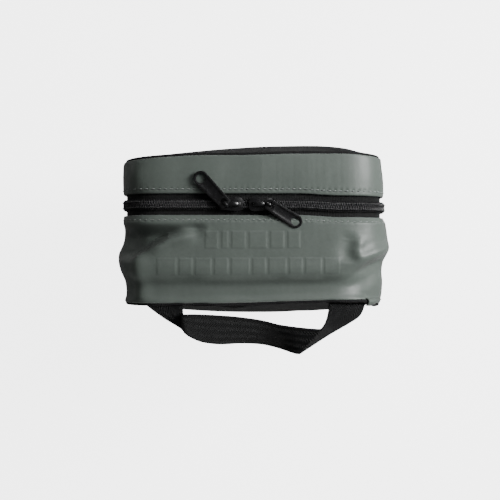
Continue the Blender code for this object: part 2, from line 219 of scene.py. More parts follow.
def grid_mesh(name, points, wrap_rows=False, wrap_cols=False, uv=None, flip=False):
    """A mesh object from a grid of points, rows by columns by 3."""
    rows, cols = points.shape[:2]
    index = np.arange(rows * cols).reshape(rows, cols)
    if wrap_rows:
        index = np.vstack([index, index[:1]])
    if wrap_cols:
        index = np.hstack([index, index[:, :1]])
    corners = [index[:-1, :-1], index[:-1, 1:], index[1:, 1:], index[1:, :-1]]
    if flip:
        corners.reverse()
    faces = np.stack(corners, axis=-1).reshape(-1, 4)
    made = mesh_object(name, points.reshape(-1, 3).tolist(), faces.tolist())
    if uv is not None:
        layer = made.data.uv_layers.new(name="weave")
        flat = uv.reshape(-1, 2)[np.array([loop.vertex_index for loop in made.data.loops])]
        layer.data.foreach_set("uv", flat.astype(np.float32).ravel())
    return made


def faces_out(thing, rings=None):
    """Turn every face of a closed mesh outwards.

    Given rings, its count of rings and the points in each, a tube's two ends are closed first.
    """
    bm = bmesh.new()
    bm.from_mesh(thing.data)
    if rings:
        rows, ring = rings
        bm.verts.ensure_lookup_table()
        for first in (0, (rows - 1) * ring):
            bm.faces.new(bm.verts[first:first + ring])
    bmesh.ops.recalc_face_normals(bm, faces=bm.faces)
    bm.to_mesh(thing.data)
    bm.free()


def copies_mesh(name, shape, places):
    """One mesh object of many copies of a small shape (points, faces), each placed by a 4x4 matrix."""
    points, faces = shape
    points = np.asarray(points, float)
    places = np.asarray(places, float)
    moved = np.einsum("nij,pj->npi", places[:, :3, :3], points) + places[:, None, :3, 3]
    count = len(points)
    corners = [[corner + count * i for corner in face] for i in range(len(places)) for face in faces]
    return mesh_object(name, moved.reshape(-1, 3).tolist(), corners)


def tube_shape(line, radii, sides):
    """Points and faces of a closed tube along a 3D line, with a radius at each point and flat ends."""
    line = np.asarray(line, float)
    radii = np.broadcast_to(radii, len(line))
    tangent = unit(np.gradient(line, axis=0))
    # No line here runs along this direction, so it always gives a sideways one
    guide = np.array([0.31, 0.17, 0.94])
    first = unit(np.cross(tangent, guide))
    second = np.cross(tangent, first)
    angles = np.linspace(0, 2 * math.pi, sides, endpoint=False)
    ring = np.cos(angles)[None, :, None] * first[:, None] + np.sin(angles)[None, :, None] * second[:, None]
    points = (line[:, None] + ring * radii[:, None, None]).reshape(-1, 3)
    faces = []
    for start in range(0, (len(line) - 1) * sides, sides):
        for j in range(sides):
            k = (j + 1) % sides
            faces.append([start + j, start + k, start + sides + k, start + sides + j])
    faces.append(list(range(sides))[::-1])
    faces.append([(len(line) - 1) * sides + j for j in range(sides)])
    return points, faces


def frames_on_wall(s, y, height):
    """4x4 placements on the outline: local x along s, local y along +Y, local z outwards."""
    x, z, nx, nz = outline(s)
    made = np.zeros((len(s), 4, 4))
    made[:, 0, 0], made[:, 2, 0] = nz, -nx
    made[:, 1, 1] = 1
    made[:, 0, 2], made[:, 2, 2] = nx, nz
    made[:, 0, 3] = x + nx * height
    made[:, 1, 3] = y
    made[:, 2, 3] = z + nz * height
    made[:, 3, 3] = 1
    return made


# ---------------------------------------------------------------- materials
def new_material(name, colour, roughness, **sockets):
    """A material, its node tree and its Principled shader, with the named sockets set."""
    made = bpy.data.materials.new(name)
    made.use_nodes = True
    tree = made.node_tree
    shader = tree.nodes["Principled BSDF"]
    shader.inputs["Base Color"].default_value = (*colour, 1)
    shader.inputs["Roughness"].default_value = roughness
    for socket, value in sockets.items():
        shader.inputs[socket.replace("_", " ")].default_value = value
    return made, tree, shader


def add(tree, kind, **values):
    """A node with its attributes set."""
    made = tree.nodes.new(kind)
    for name, value in values.items():
        setattr(made, name, value)
    return made


def math_node(tree, operation, first, second=None):
    """A Math node; its inputs are sockets or numbers."""
    made = add(tree, "ShaderNodeMath", operation=operation)
    for i, value in enumerate((first, second)):
        if value is None:
            continue
        if isinstance(value, (int, float)):
            made.inputs[i].default_value = value
        else:
            tree.links.new(value, made.inputs[i])
    return made.outputs[0]


def times(tree, first, second):
    """The product of two sockets or numbers."""
    return math_node(tree, "MULTIPLY", first, second)


def plus(tree, first, second):
    """The sum of two sockets or numbers."""
    return math_node(tree, "ADD", first, second)


def noise(tree, coordinates, scale, detail=4.0, roughness=0.55):
    """A noise texture's value over given coordinates."""
    made = add(tree, "ShaderNodeTexNoise")
    made.inputs["Scale"].default_value = scale
    made.inputs["Detail"].default_value = detail
    made.inputs["Roughness"].default_value = roughness
    tree.links.new(coordinates, made.inputs["Vector"])
    return made.outputs["Fac"]


def tint(tree, shader, value, span, colour, factors):
    """Base colour: one colour times the first to the second factor, as value runs over the span."""
    made = add(tree, "ShaderNodeValToRGB")
    for element, position, factor in zip(made.color_ramp.elements, span, factors):
        element.position = position
        element.color = (*[channel * factor for channel in colour], 1)
    tree.links.new(value, made.inputs["Fac"])
    tree.links.new(made.outputs["Color"], shader.inputs["Base Color"])


def between(tree, value, low, high):
    """Remap a 0 to 1 value to low to high."""
    made = add(tree, "ShaderNodeMapRange")
    made.inputs["To Min"].default_value = low
    made.inputs["To Max"].default_value = high
    tree.links.new(value, made.inputs["Value"])
    return made.outputs["Result"]


def bump(tree, shader, height, strength, distance, before=None):
    """Bump from a height value, on top of an earlier bump."""
    made = add(tree, "ShaderNodeBump")
    made.inputs["Strength"].default_value = strength
    made.inputs["Distance"].default_value = distance
    tree.links.new(height, made.inputs["Height"])
    if before is not None:
        tree.links.new(before, made.inputs["Normal"])
    tree.links.new(made.outputs["Normal"], shader.inputs["Normal"])
    return made.outputs["Normal"]


def object_coordinates(tree):
    """Coordinates in metres that stay with the piece."""
    return add(tree, "ShaderNodeTexCoord").outputs["Object"]


def coated_fabric():
    """Grey-green coated cloth: smooth satin face, very fine grain, faint cloth showing through."""
    colour = (0.112, 0.134, 0.119)
    made, tree, shader = new_material(
        "coated_fabric", colour, 0.46, Specular_IOR_Level=0.42, Sheen_Weight=0.08, Sheen_Roughness=0.5
    )
    where = object_coordinates(tree)
    cloudy = noise(tree, where, 22, 5)
    grain = noise(tree, where, 2600, 3, 0.6)
    mottled = noise(tree, where, 420, 3)
    mixed = plus(tree, times(tree, cloudy, 0.6), times(tree, mottled, 0.4))
    tint(tree, shader, mixed, (0.3, 0.7), colour, (0.93, 1.07))
    tree.links.new(between(tree, mixed, 0.38, 0.55), shader.inputs["Roughness"])
    first = bump(tree, shader, grain, 0.22, 0.00006)
    bump(tree, shader, mottled, 0.18, 0.00025, first)
    return made


def cloth(name, colour, roughness, thread, strength, sheen=0.15):
    """Plain woven black cloth: thread is the distance between its threads in metres, strength their bump."""
    made, tree, shader = new_material(
        name, colour, roughness, Sheen_Weight=sheen, Sheen_Roughness=0.45, Specular_IOR_Level=0.3
    )
    where = object_coordinates(tree)
    split = add(tree, "ShaderNodeSeparateXYZ")
    tree.links.new(where, split.inputs[0])
    rate = math.pi / thread
    rib = [math_node(tree, "SINE", times(tree, split.outputs[i], rate)) for i in range(3)]
    woven = times(tree, times(tree, rib[0], rib[1]), rib[2])
    wide = plus(tree, times(tree, rib[0], rib[2]), woven)
    fuzz = noise(tree, where, 1500, 3)
    cloudy = noise(tree, where, 30, 4)
    tint(tree, shader, cloudy, (0.3, 0.7), colour, (0.82, 1.2))
    first = bump(tree, shader, wide, strength, thread * 0.5)
    bump(tree, shader, fuzz, 0.2, 0.0001, first)
    return made


def woven_strip(name, colour, rib, slant):
    """Webbing or tape with ribs that turn back each time they have run over a slant's width.

    Both are distances in metres, over the piece's own weave coordinates. The colour is painted darker in the
    grooves between the ribs and lighter on their tops: painted shade and painted highlight, mixed with random
    tone.
    """
    made, tree, shader = new_material(
        name, colour, 0.75, Sheen_Weight=0.02, Sheen_Roughness=0.35, Specular_IOR_Level=0.3
    )
    coordinates = add(tree, "ShaderNodeUVMap", uv_map="weave")
    split = add(tree, "ShaderNodeSeparateXYZ")
    tree.links.new(coordinates.outputs["UV"], split.inputs[0])
    along, over = split.outputs[0], split.outputs[1]
    zigzag = math_node(tree, "PINGPONG", over, slant)
    phase = plus(tree, along, zigzag)
    ribs = math_node(tree, "SINE", times(tree, phase, 2 * math.pi / rib))
    ends = math_node(tree, "SINE", times(tree, over, 2 * math.pi / (rib * 0.62)))
    raised = plus(tree, times(tree, ribs, 0.9), times(tree, ends, 0.1))
    where = object_coordinates(tree)
    fuzz = noise(tree, where, 1800, 3)
    cloudy = noise(tree, where, 60, 4)
    # Half of the colour is painted shade in the grooves and painted highlight on the rib tops, the other half
    # random cloudy tone
    rib_shade_and_tone = plus(tree, times(tree, between(tree, raised, 0, 1), 0.5), times(tree, cloudy, 0.5))
    tint(tree, shader, rib_shade_and_tone, (0.2, 0.8), colour, (0.4, 2.0))
    first = bump(tree, shader, raised, 0.8, rib * 0.28)
    bump(tree, shader, fuzz, 0.25, 0.00012, first)
    return made


def enamel():
    """Glossy black enamel on die-cast metal, slightly dulled and worn."""
    colour = (0.007, 0.007, 0.0075)
    made, tree, shader = new_material("enamel", colour, 0.3, Coat_Weight=0.5, Coat_Roughness=0.1)
    where = object_coordinates(tree)
    cloudy = noise(tree, where, 260, 5)
    tree.links.new(between(tree, cloudy, 0.16, 0.36), shader.inputs["Roughness"])
    tint(tree, shader, cloudy, (0.35, 0.75), colour, (1.0, 2.2))
    bump(tree, shader, noise(tree, where, 900, 3), 0.15, 0.00008)
    return made


def nylon():
    """Dull black nylon of the coil."""
    colour = (0.012, 0.012, 0.013)
    made, tree, shader = new_material("coil_nylon", colour, 0.36)
    where = object_coordinates(tree)
    tint(tree, shader, noise(tree, where, 500, 3), (0.3, 0.7), colour, (0.7, 1.5))
    return made


def thread(name, colour):
    """Twisted sewing thread."""
    made, tree, shader = new_material(name, colour, 0.6, Sheen_Weight=0.3)
    where = object_coordinates(tree)
    twist = noise(tree, where, 3000, 2)
    tint(tree, shader, twist, (0.3, 0.7), colour, (0.7, 1.25))
    bump(tree, shader, twist, 0.4, 0.0001)
    return made


FABRIC = coated_fabric()
PANEL_CLOTH = cloth("panel_cloth", (0.0055, 0.006, 0.006), 0.78, thread=0.0009, strength=0.35, sheen=0.02)
LINING_CLOTH = cloth("lining_cloth", (0.045, 0.047, 0.05), 0.8, thread=0.0006, strength=0.4)
TAPE_CLOTH = woven_strip("tape_cloth", (0.0095, 0.01, 0.01), rib=0.0011, slant=0.0006)
WEBBING_CLOTH = woven_strip("webbing_cloth", (0.0068, 0.0072, 0.0075), rib=0.0017, slant=0.0031)
ELASTIC_CLOTH = woven_strip("elastic_cloth", (0.017, 0.017, 0.019), rib=0.0016, slant=0.0004)
BINDING_CLOTH = cloth("binding_cloth", (0.007, 0.007, 0.0075), 0.8, thread=0.0007, strength=0.5, sheen=0.0)
NET_YARN = thread("net_yarn", (0.02, 0.02, 0.022))
FOAM = cloth("foam_skin", (0.07, 0.072, 0.075), 0.95, thread=0.0012, strength=0.3, sheen=0.0)
ENAMEL = enamel()
NYLON = nylon()
GREY_THREAD = thread("grey_thread", (0.19, 0.215, 0.2))
BLACK_THREAD = thread("black_thread", (0.038, 0.038, 0.04))


def dress(thing, material, body=None):
    """Give a piece its material and slot, and its body when one is given."""
    thing.data.materials.clear()
    thing.data.materials.append(material)
    if body:
        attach(thing, body)
    return thing


# ---------------------------------------------------------------- how the walls sag and crease
def past_side(s, reach):
    """1 on the top and the upper corners, fading to 0 over reach down the straight sides."""
    return 1 - smooth((np.abs(s) - SIDE_START) / reach)


def zip_drift(s):
    """How far the zip line wanders towards the case on the right, where the pouch leans."""
    return -1.4 * MM * smooth((s - 30 * MM) / (28 * MM)) * past_side(s, 70 * MM)


def side_out(s):
    """How far the zip and the hems beside it stand out down both sides, pushed by the stiff coil."""
    out = np.where(s > 0, 1.9 * MM, 0.3 * MM)
    return out * smooth((np.abs(s) - 72 * MM) / (34 * MM)) * past_side(s, 90 * MM)


def case_seam_shift(s):
    """The case seam isn't quite straight: low at the left end, higher to the right, low at the corner."""
    rise = 2.2 * MM * smooth((s + 30 * MM) / (90 * MM)) - 1.6 * MM
    corner = -3.2 * MM * smooth((s - 74 * MM) / (12 * MM))
    return (rise + corner) * past_side(s, 60 * MM)


def lid_seam_shift(s):
    """The lid seam drops towards the rounder left corner."""
    left = -1.0 * MM * smooth((30 * MM - s) / (40 * MM)) - 3.4 * MM * smooth((-s - 30 * MM) / (70 * MM))
    right = -1.4 * MM * smooth((s - 60 * MM) / (30 * MM))
    return (left + right) * past_side(s, 60 * MM)


# Middle of each row, block widths, gap between blocks and height of the blocks, in mm
BLOCK_ROWS = [
    ((0.0, -8.2), (8.5, 4.0, 9.0, 11.5, 9.0, 8.0), 2.6, 11.0),
    ((-2.5, -25.6), (11.5, 8.5, 10.5, 9.0, 12.0, 8.5, 11.5, 8.5, 10.5, 9.5), 2.2, 10.6),
]


def blocks(s, y):
    """Two rows of plain pressed blocks on the case's top, 0 to 1."""
    x_mm, y_mm = s / MM, y / MM
    total = np.zeros(np.broadcast(s, y).shape)
    for (middle, row_y), widths, gap, tall in BLOCK_ROWS:
        left = middle - (sum(widths) + gap * (len(widths) - 1)) / 2
        for width in widths:
            over = np.abs(x_mm - left - width / 2) - width / 2
            above = np.abs(y_mm - row_y) - tall / 2
            edge = np.maximum(over, above)
            total = np.maximum(total, smooth(0.5 - edge / 0.8))
            left += width + gap
    return total


# Pitch of the sewn stitches, half thickness of their thread and their distance from the hem
STITCH = 3.9 * MM
THREAD = 0.36 * MM
STITCH_FROM_EDGE = 3.1 * MM


def puckers(s, y, row_y):
    """Dimples where a row of stitches pulls the cloth in, with faint ridges running from them."""
    beat = 0.5 + 0.5 * np.cos(2 * math.pi * s / STITCH)
    dimples = 0.42 * hill(y - row_y, 0.9 * MM) * beat**3
    ridges = 0.08 * hill(y - row_y, 2.6 * MM) * (1 - beat)
    return (ridges - dimples) * MM


def on_body(s):
    """1 along the top and the sides, fading to 0 on the spine, where the walls lie flat."""
    return 1 - smooth((np.abs(s) - FOOT_START + 20 * MM) / (20 * MM))


def case_folds(s, y):
    """Broad folds of the case wall in metres outwards: they sit mostly at its upper corners.

    The places and sizes inside are millimetres: a along the outline to the right, b across it to the lid.
    """
    a, b = s / MM, y / MM
    # The ridge on the left, with the hollow between it and the zip
    ridge, along = to_line(a, b, [(-26, 2), (-32, -1.5), (-55, -8.8), (-66, -15), (-73.5, -21), (-75, -29),
                                  (-74, -50)])
    beyond = smooth(-ridge / 8) * smooth((-a - 34) / 24) * (1 - smooth((-a - 84) / 24))
    hollow = -9.5 * beyond * smooth((3.2 - b) / 10) * smooth((b + 24) / 10)
    dent = -2.6 * hill(np.hypot((a + 37.0) / 6.5, (b + 1.5) / 5.5), 1) * smooth((4 - b) / 5)
    crest = 1.7 * hill(ridge - 1.0, 3.2) * smooth(along / 0.12) * (1 - smooth((along - 0.45) / 0.15))
    # The top steps down towards the seam, more steeply to the right
    step, _ = to_line(a, b, [(-600, -28), (-78, -27.5), (0, -29), (42, -29), (58, -27), (68, -23),
                             (82, -17.5), (94, -14), (600, -13)])
    right_end = hill((a - 83) / 15, 1)
    drop = 1.7 + 8.0 * right_end
    flank = 10 - 1.5 * right_end
    stepped = -drop * smooth(-step / flank) * (1 - 0.3 * smooth((-step - 14) / 8))
    lip = (0.4 + 2.4 * right_end) * hill(step - 2.0, 4.0) * (1 - smooth((-a - 60) / 25))
    # The crease on the right with a narrow ridge beside it
    fold, down = to_line(a, b, [(70.5, -3), (68, -9), (66.8, -15), (67.8, -22), (70, -60)])
    narrow = (1.7 * hill(fold - 1.0, 3.2) - 1.3 * hill(fold + 5, 5.0)) * smooth(down / 0.15)
    narrow = narrow * smooth((b + 25) / 6)
    # The sides belly out where the fabric has gone slack
    belly_right = 6.0 * hill((a - 112) / 26, 1) * hill((b + 12) / 16, 1)
    belly_left = 4.8 * hill((a + 112) / 30, 1) * hill((b + 20) / np.where(b > -20, 8.5, 13), 1)
    corner = 2.6 * hill(a + 74, 5.6) * smooth((-b - 12) / 12)
    low = 3.4 * hill((a - 112) / 30, 1) * hill((b + 40) / 14, 1)
    sides = -1.2 * smooth((np.abs(a) - 130) / 40) * hill((b + 20) / 18, 1)
    plateau = 2.4 * smooth((26 - np.abs(b + 14)) / 9) * (1 - smooth((np.abs(a) - 72) / 28))
    total = hollow + dent + crest + stepped + lip + narrow + belly_right + belly_left + corner + low + sides
    total = total + plateau + 0.4 * waves(a, b, 5, 46, 3)
    # Nothing moves at the zip edge but with the zip itself, little at the seam, and nothing on the spine
    held = smooth((8.6 - b) / 5) * (0.35 + 0.65 * smooth((b + 49.5) / 5))
    return total * held * on_body(s) * MM + side_out(s) * smooth((b + 12) / 18)


def case_detail(s, y):
    """Fine relief of the case wall."""
    fine = 0.19 * MM * blocks(s, y) + 0.05 * MM * waves(s / MM, y / MM, 9, 7, 2)
    return fine + puckers(s, y, CASE_EDGE_Y - STITCH_FROM_EDGE)


def lid_folds(s, y):
    """Broad relief of the lid wall: nearly flat, softly waved."""
    a, b = s / MM, y / MM
    middle = hill((b - 36) / 11, 1)
    total = 0.6 * middle + 0.35 * waves(a, b * 0.6, 21, 40, 3)
    total = total + 1.8 * hill(a + 77, 7) * hill((b - 36) / 13, 1)
    total = total - 1.2 * smooth((np.abs(a) - 130) / 40) * middle
    held = smooth((b - 22.1) / 4) * smooth((49.6 - b) / 4)
    return total * held * on_body(s) * MM + side_out(s) * smooth((46 - b) / 20)


def lid_detail(s, y):
    """Fine relief of the lid wall, with faint creases across it on the middle and the right."""
    a, b = s / MM, y / MM
    creased = smooth((a + 30) / 40) * (1 - smooth((a - 56) / 20))
    creases = 0.055 * MM * waves(a, b * 0.05, 33, 4.5, 2) * creased
    return creases + puckers(s, y, LID_EDGE_Y + STITCH_FROM_EDGE) + 0.04 * MM * waves(a, b, 9, 7, 2)


def walled(name, seam_y, edge_y, s_values, y_steps, folds, detail, seam_shift):
    """A closed band of cloth along the whole outline, from its seam to the hem beside the zip.

    y_steps holds the places where the mesh across the band changes its step, and the steps between them.
    """
    way = 1 if edge_y > seam_y else -1
    half = WALL / 2
    turns = np.linspace(math.pi / 2, -math.pi / 2, 7)[1:-1]
    outer = spread([seam_y + way * half] + y_steps[0] + [edge_y - way * half], y_steps[1])
    inner = np.linspace(edge_y - way * half, seam_y + way * half, 14)
    hem = edge_y - way * half + way * half * np.cos(turns)
    seam = seam_y + way * half - way * half * np.cos(turns)
    ys = np.concatenate([outer, hem, inner, seam])
    turned = half * np.sin(turns)
    depths = np.concatenate([0 * outer, half - turned, 0 * inner + WALL, half + turned])
    fine = np.where(np.arange(len(ys)) < len(outer), 1.0, 0.0)
    s_grid, y_grid = grid(s_values, ys)
    out = folds(s_grid, y_grid) + fine[None] * detail(s_grid, y_grid)
    share = np.clip((edge_y - y_grid) / (edge_y - seam_y), 0, 1)
    moved = y_grid + seam_shift(s_grid) * share**2 + zip_drift(s_grid) * (1 - share) ** 2
    points = place(s_grid, moved, depths[None] - out)
    return grid_mesh(name, points, wrap_rows=True, wrap_cols=True, flip=way < 0)


# ---------------------------------------------------------------- stitches
ZIP_END = FOOT_START - 4 * MM


def stitch_row(name, y, height, body, folds):
    """A row of sewn stitches beside the zip, each dipping into the cloth at its ends."""
    s = -ZIP_END + STITCH * (np.arange(int(2 * ZIP_END / STITCH)) + 0.5)
    t = np.linspace(-1, 1, 7)
    line = stacked(t * STITCH * 0.6 / 2, 0.04 * MM * np.sin(t * 3), -0.42 * MM * np.abs(t) ** 3)
    shape = tube_shape(line, THREAD * (1 - 0.35 * t**4), 6)
    made = copies_mesh(name, shape, frames_on_wall(s, y + zip_drift(s), height + folds(s, y)))
    dress(made, GREY_THREAD, body)


# ---------------------------------------------------------------- the walls
TOP_HALF = 70 * MM
s_case = spread([-HALF_LOOP, -FLOOR_START, -FOOT_START, -SIDE_START - 45 * MM, -TOP_HALF, TOP_HALF,
                 SIDE_START + 45 * MM, FOOT_START, FLOOR_START, HALF_LOOP],
                [5 * MM, 2.2 * MM, 3 * MM, 1.1 * MM, 0.55 * MM, 1.1 * MM, 3 * MM, 2.2 * MM, 5 * MM])[:-1]
case_wall = walled("case_wall", CASE_SEAM_Y, CASE_EDGE_Y, s_case,
                   ([-38 * MM, -33 * MM, 1 * MM], [1.2 * MM, 0.8 * MM, 0.55 * MM, 0.6 * MM]),
                   case_folds, case_detail, case_seam_shift)
dress(case_wall, FABRIC, "case")
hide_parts("case_gusset", "case_spine")

s_lid = spread([-HALF_LOOP, -FLOOR_START, -FOOT_START, -SIDE_START,
                SIDE_START, FOOT_START, FLOOR_START, HALF_LOOP],
               [5 * MM, 2.2 * MM, 3 * MM, 0.8 * MM, 3 * MM, 2.2 * MM, 5 * MM])[:-1]
lid_wall = walled("lid_wall", LID_SEAM_Y, LID_EDGE_Y, s_lid,
                  ([40 * MM, 30 * MM], [1.2 * MM, 1.2 * MM, 0.6 * MM]),
                  lid_folds, lid_detail, lid_seam_shift)
dress(lid_wall, FABRIC, "lid")
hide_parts("lid_gusset", "lid_spine")

stitch_row("case_edge_stitches", CASE_EDGE_Y - STITCH_FROM_EDGE, 0.1 * MM, "case", case_folds)
stitch_row("lid_edge_stitches", LID_EDGE_Y + STITCH_FROM_EDGE, 0.12 * MM, "lid", lid_folds)


# ---------------------------------------------------------------- piping along both outer seams
def piping(name, seam_y, way, shift, body):
    """The black roll sewn between a wall and its padded panel, its middle a little in from the outline."""
    radius, middle = 1.4 * MM, 2.6 * MM
    s = spread([-HALF_LOOP, HALF_LOOP], [1.5 * MM])[:-1]
    turns = np.linspace(0, 2 * math.pi, 12, endpoint=False)
    s_grid, turn = grid(s, turns)
    pucker = 1 + 0.05 * np.cos(2 * math.pi * s_grid / (2.6 * MM))
    y = seam_y + way * 0.6 * MM + shift(s_grid) + radius * pucker * np.cos(turn) * 0.9
    made = grid_mesh(name, place(s_grid, y, middle - radius * pucker * np.sin(turn)), True, True, flip=True)
    faces_out(made)
    dress(made, BINDING_CLOTH, body)


piping("case_piping", CASE_SEAM_Y, -1, case_seam_shift, "case")
piping("lid_piping", LID_SEAM_Y, 1, lid_seam_shift, "lid")


# ---------------------------------------------------------------- padded panels, by cloth simulation
# Settings of the panels' cloth simulation, and how far their rims lie in from the outline
PANEL_PRESSURE = 8.0
PANEL_GRAVITY = 0.15
PANEL_FRAMES = 18
PANEL_MOVE = 3 * MM
PANEL_INSET = 1.4 * MM


def simulate(thing, pinned):
    """Blow a mesh up with Cloth, with its pinned points held and none moved past PANEL_MOVE."""
    start = np.array([v.co for v in thing.data.vertices])
    group = thing.vertex_groups.new(name="held")
    group.add(pinned, 1.0, "REPLACE")
    added = thing.modifiers.new("Cloth", "CLOTH")
    settings = added.settings
    settings.quality = 6
    settings.mass = 0.2
    settings.tension_stiffness = 8
    settings.compression_stiffness = 8
    settings.shear_stiffness = 4
    settings.bending_stiffness = 1.2
    settings.air_damping = 2
    settings.vertex_group_mass = "held"
    settings.use_pressure = True
    settings.uniform_pressure_force = PANEL_PRESSURE
    settings.effector_weights.gravity = PANEL_GRAVITY
    added.collision_settings.use_collision = False
    scene = bpy.context.scene
    for frame_number in range(1, PANEL_FRAMES + 1):
        scene.frame_set(frame_number)
    evaluated = thing.evaluated_get(bpy.context.evaluated_depsgraph_get())
    moved = np.array([v.co for v in evaluated.data.vertices]) - start
    thing.modifiers.remove(added)
    thing.vertex_groups.remove(group)
    scene.frame_set(1)
    length = np.linalg.norm(moved, axis=1)
    print(thing.name, "moved by", round(float(length.max()) / MM, 2), "mm at most")
    scale = np.minimum(1, PANEL_MOVE / np.maximum(length, 1e-9))
    thing.data.vertices.foreach_set("co", (start + moved * scale[:, None]).astype(np.float32).ravel())
    thing.data.update()


def rim_distance(x, z, inset):
    """Distance in from the outline that is itself inset, for points of the XZ plane."""
    half = HALF - inset
    top, foot = TOP_RADIUS - inset, FOOT_RADIUS - inset
    radius = np.where(z > HEIGHT / 2, top, foot)
    qx = np.abs(x) - (half - radius)
    qz = np.where(z > HEIGHT / 2, z - (HEIGHT - inset - radius), (inset + radius) - z)
    outside = np.hypot(np.maximum(qx, 0), np.maximum(qz, 0)) + np.minimum(np.maximum(qx, qz), 0)
    return radius - outside


def filled(x, z):
    """Points of the XZ plane moved out with the upper corners."""
    dx, dz = np.abs(x) - STRAIGHT_TOP, z - (HEIGHT - TOP_RADIUS)
    turn = np.arctan2(np.maximum(dx, 0), np.maximum(dz, 1e-6))
    push = CORNER_FILL * np.sin(2 * turn) ** 2 * np.minimum(np.hypot(dx, dz) / TOP_RADIUS, 1) ** 2
    push = np.where((dx > 0) & (dz > 0), push, 0)
    return x + np.sign(x) * push * np.sin(turn), z + push * np.cos(turn)


def half_width(z, inset):
    """Half of the inset outline's width at height z."""
    half = HALF - inset
    top, foot = TOP_RADIUS - inset, FOOT_RADIUS - inset
    over = np.clip(z - (HEIGHT - inset - top), 0, top)
    under = np.clip((inset + foot) - z, 0, foot)
    width = half - (top - np.sqrt(top**2 - over**2))
    return width - (foot - np.sqrt(foot**2 - under**2))


def padded_panel(name, seam_y, way, shift, seed, slump, body, replaced):
    """A padded panel closing one face of the pouch: held round its rim and blown up against its foam.

    slump is how much of its dome is missing at the upper left, where the filling has sunk.
    """
    rows, columns, inset = 52, 48, PANEL_INSET
    run = 27 * MM
    t = np.linspace(0, 1, rows)
    z = inset + (HEIGHT - 2 * inset) * (t - 0.35 * np.sin(2 * math.pi * t) / (2 * math.pi))
    u = np.linspace(-1, 1, columns)
    z_grid, u_grid = grid(z, u)
    x_grid = half_width(z_grid, inset) * (u_grid + 0.2 * np.sin(math.pi * u_grid) / math.pi)
    deep = np.clip(rim_distance(x_grid, z_grid, inset), 0, None)
    rise = 1 - (1 - np.clip(deep / run, 0, 1)) ** 2.4
    bulge = (DOME - 1.0 * MM) * rise + 0.5 * MM * waves(x_grid / MM, z_grid / MM, seed, 60, 2) * rise
    slack_end = smooth((-x_grid - 2 * MM) / (62 * MM)) * smooth((z_grid - 0.5 * HEIGHT) / (0.4 * HEIGHT))
    bulge = bulge * (1 - slump * slack_end)
    near_top = smooth((z_grid - 0.75 * HEIGHT) / (0.2 * HEIGHT))
    y_grid = seam_y + way * (0.4 * MM + bulge) + shift(x_grid) * near_top
    x_grid, z_grid = filled(x_grid, z_grid)
    made = grid_mesh(name, stacked(x_grid, y_grid, z_grid), flip=way > 0)
    index = np.arange(rows * columns).reshape(rows, columns)
    rim = {*index[0], *index[-1], *index[:, 0], *index[:, -1]}
    simulate(made, sorted(int(i) for i in rim))
    smoothed = made.modifiers.new("Smooth", "SUBSURF")
    smoothed.levels = smoothed.render_levels = 2
    thick = made.modifiers.new("Thick", "SOLIDIFY")
    thick.thickness = 1.2 * MM
    thick.offset = -1
    dress(made, PANEL_CLOTH, body)
    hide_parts(replaced)


padded_panel("case_panel", CASE_SEAM_Y, -1, case_seam_shift, 3, 0.35, "case", "case_back_panel")
padded_panel("lid_panel", LID_SEAM_Y, 1, lid_seam_shift, 4, 0.55, "lid", "lid_front_panel")


# ---------------------------------------------------------------- zip tapes
# How far a tape laps under its wall, and how far it runs round the foot
LAP = 5.5 * MM
TAPE_END = FOOT_START + FOOT_ARC * 0.9


def zip_tape(side, low, high):
    """The flat tape on one side of the zip, between two y edges, with its weave along it."""
    s = spread([-TAPE_END, TAPE_END], [1.6 * MM])
    across = np.linspace(low, high, 6)
    s_grid, ring_y = grid(s, np.concatenate([across, across[::-1]]))
    depth = TAPE_INSET + np.repeat([0, TAPE], len(across))
    y = ring_y + zip_drift(s_grid)
    points = place(s_grid, y, depth - side_out(s_grid))
    made = grid_mesh(side + "_tape", points, False, True, uv=stacked(s_grid, y - low), flip=True)
    faces_out(made, (len(s), 2 * len(across)))
    dress(made, TAPE_CLOTH, side)
    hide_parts(side + "_zip_tape")


zip_tape("case", CASE_EDGE_Y - LAP, CHAIN_Y - 0.5 * MM)
zip_tape("lid", CHAIN_Y + 0.5 * MM, LID_EDGE_Y + LAP)


# ---------------------------------------------------------------- coil and threads of the zip
# Half width of the closed coil, pitch and half thickness of its teeth, their height, and how far they stand out
COIL_HALF = 3.65 * MM
COIL_PITCH = 1.6 * MM
COIL_WIRE = 0.42 * MM
COIL_TALL = 2.3 * MM
COIL_TOP = 0.35 * MM
COIL_ARC = s_at_height(COIL_END)


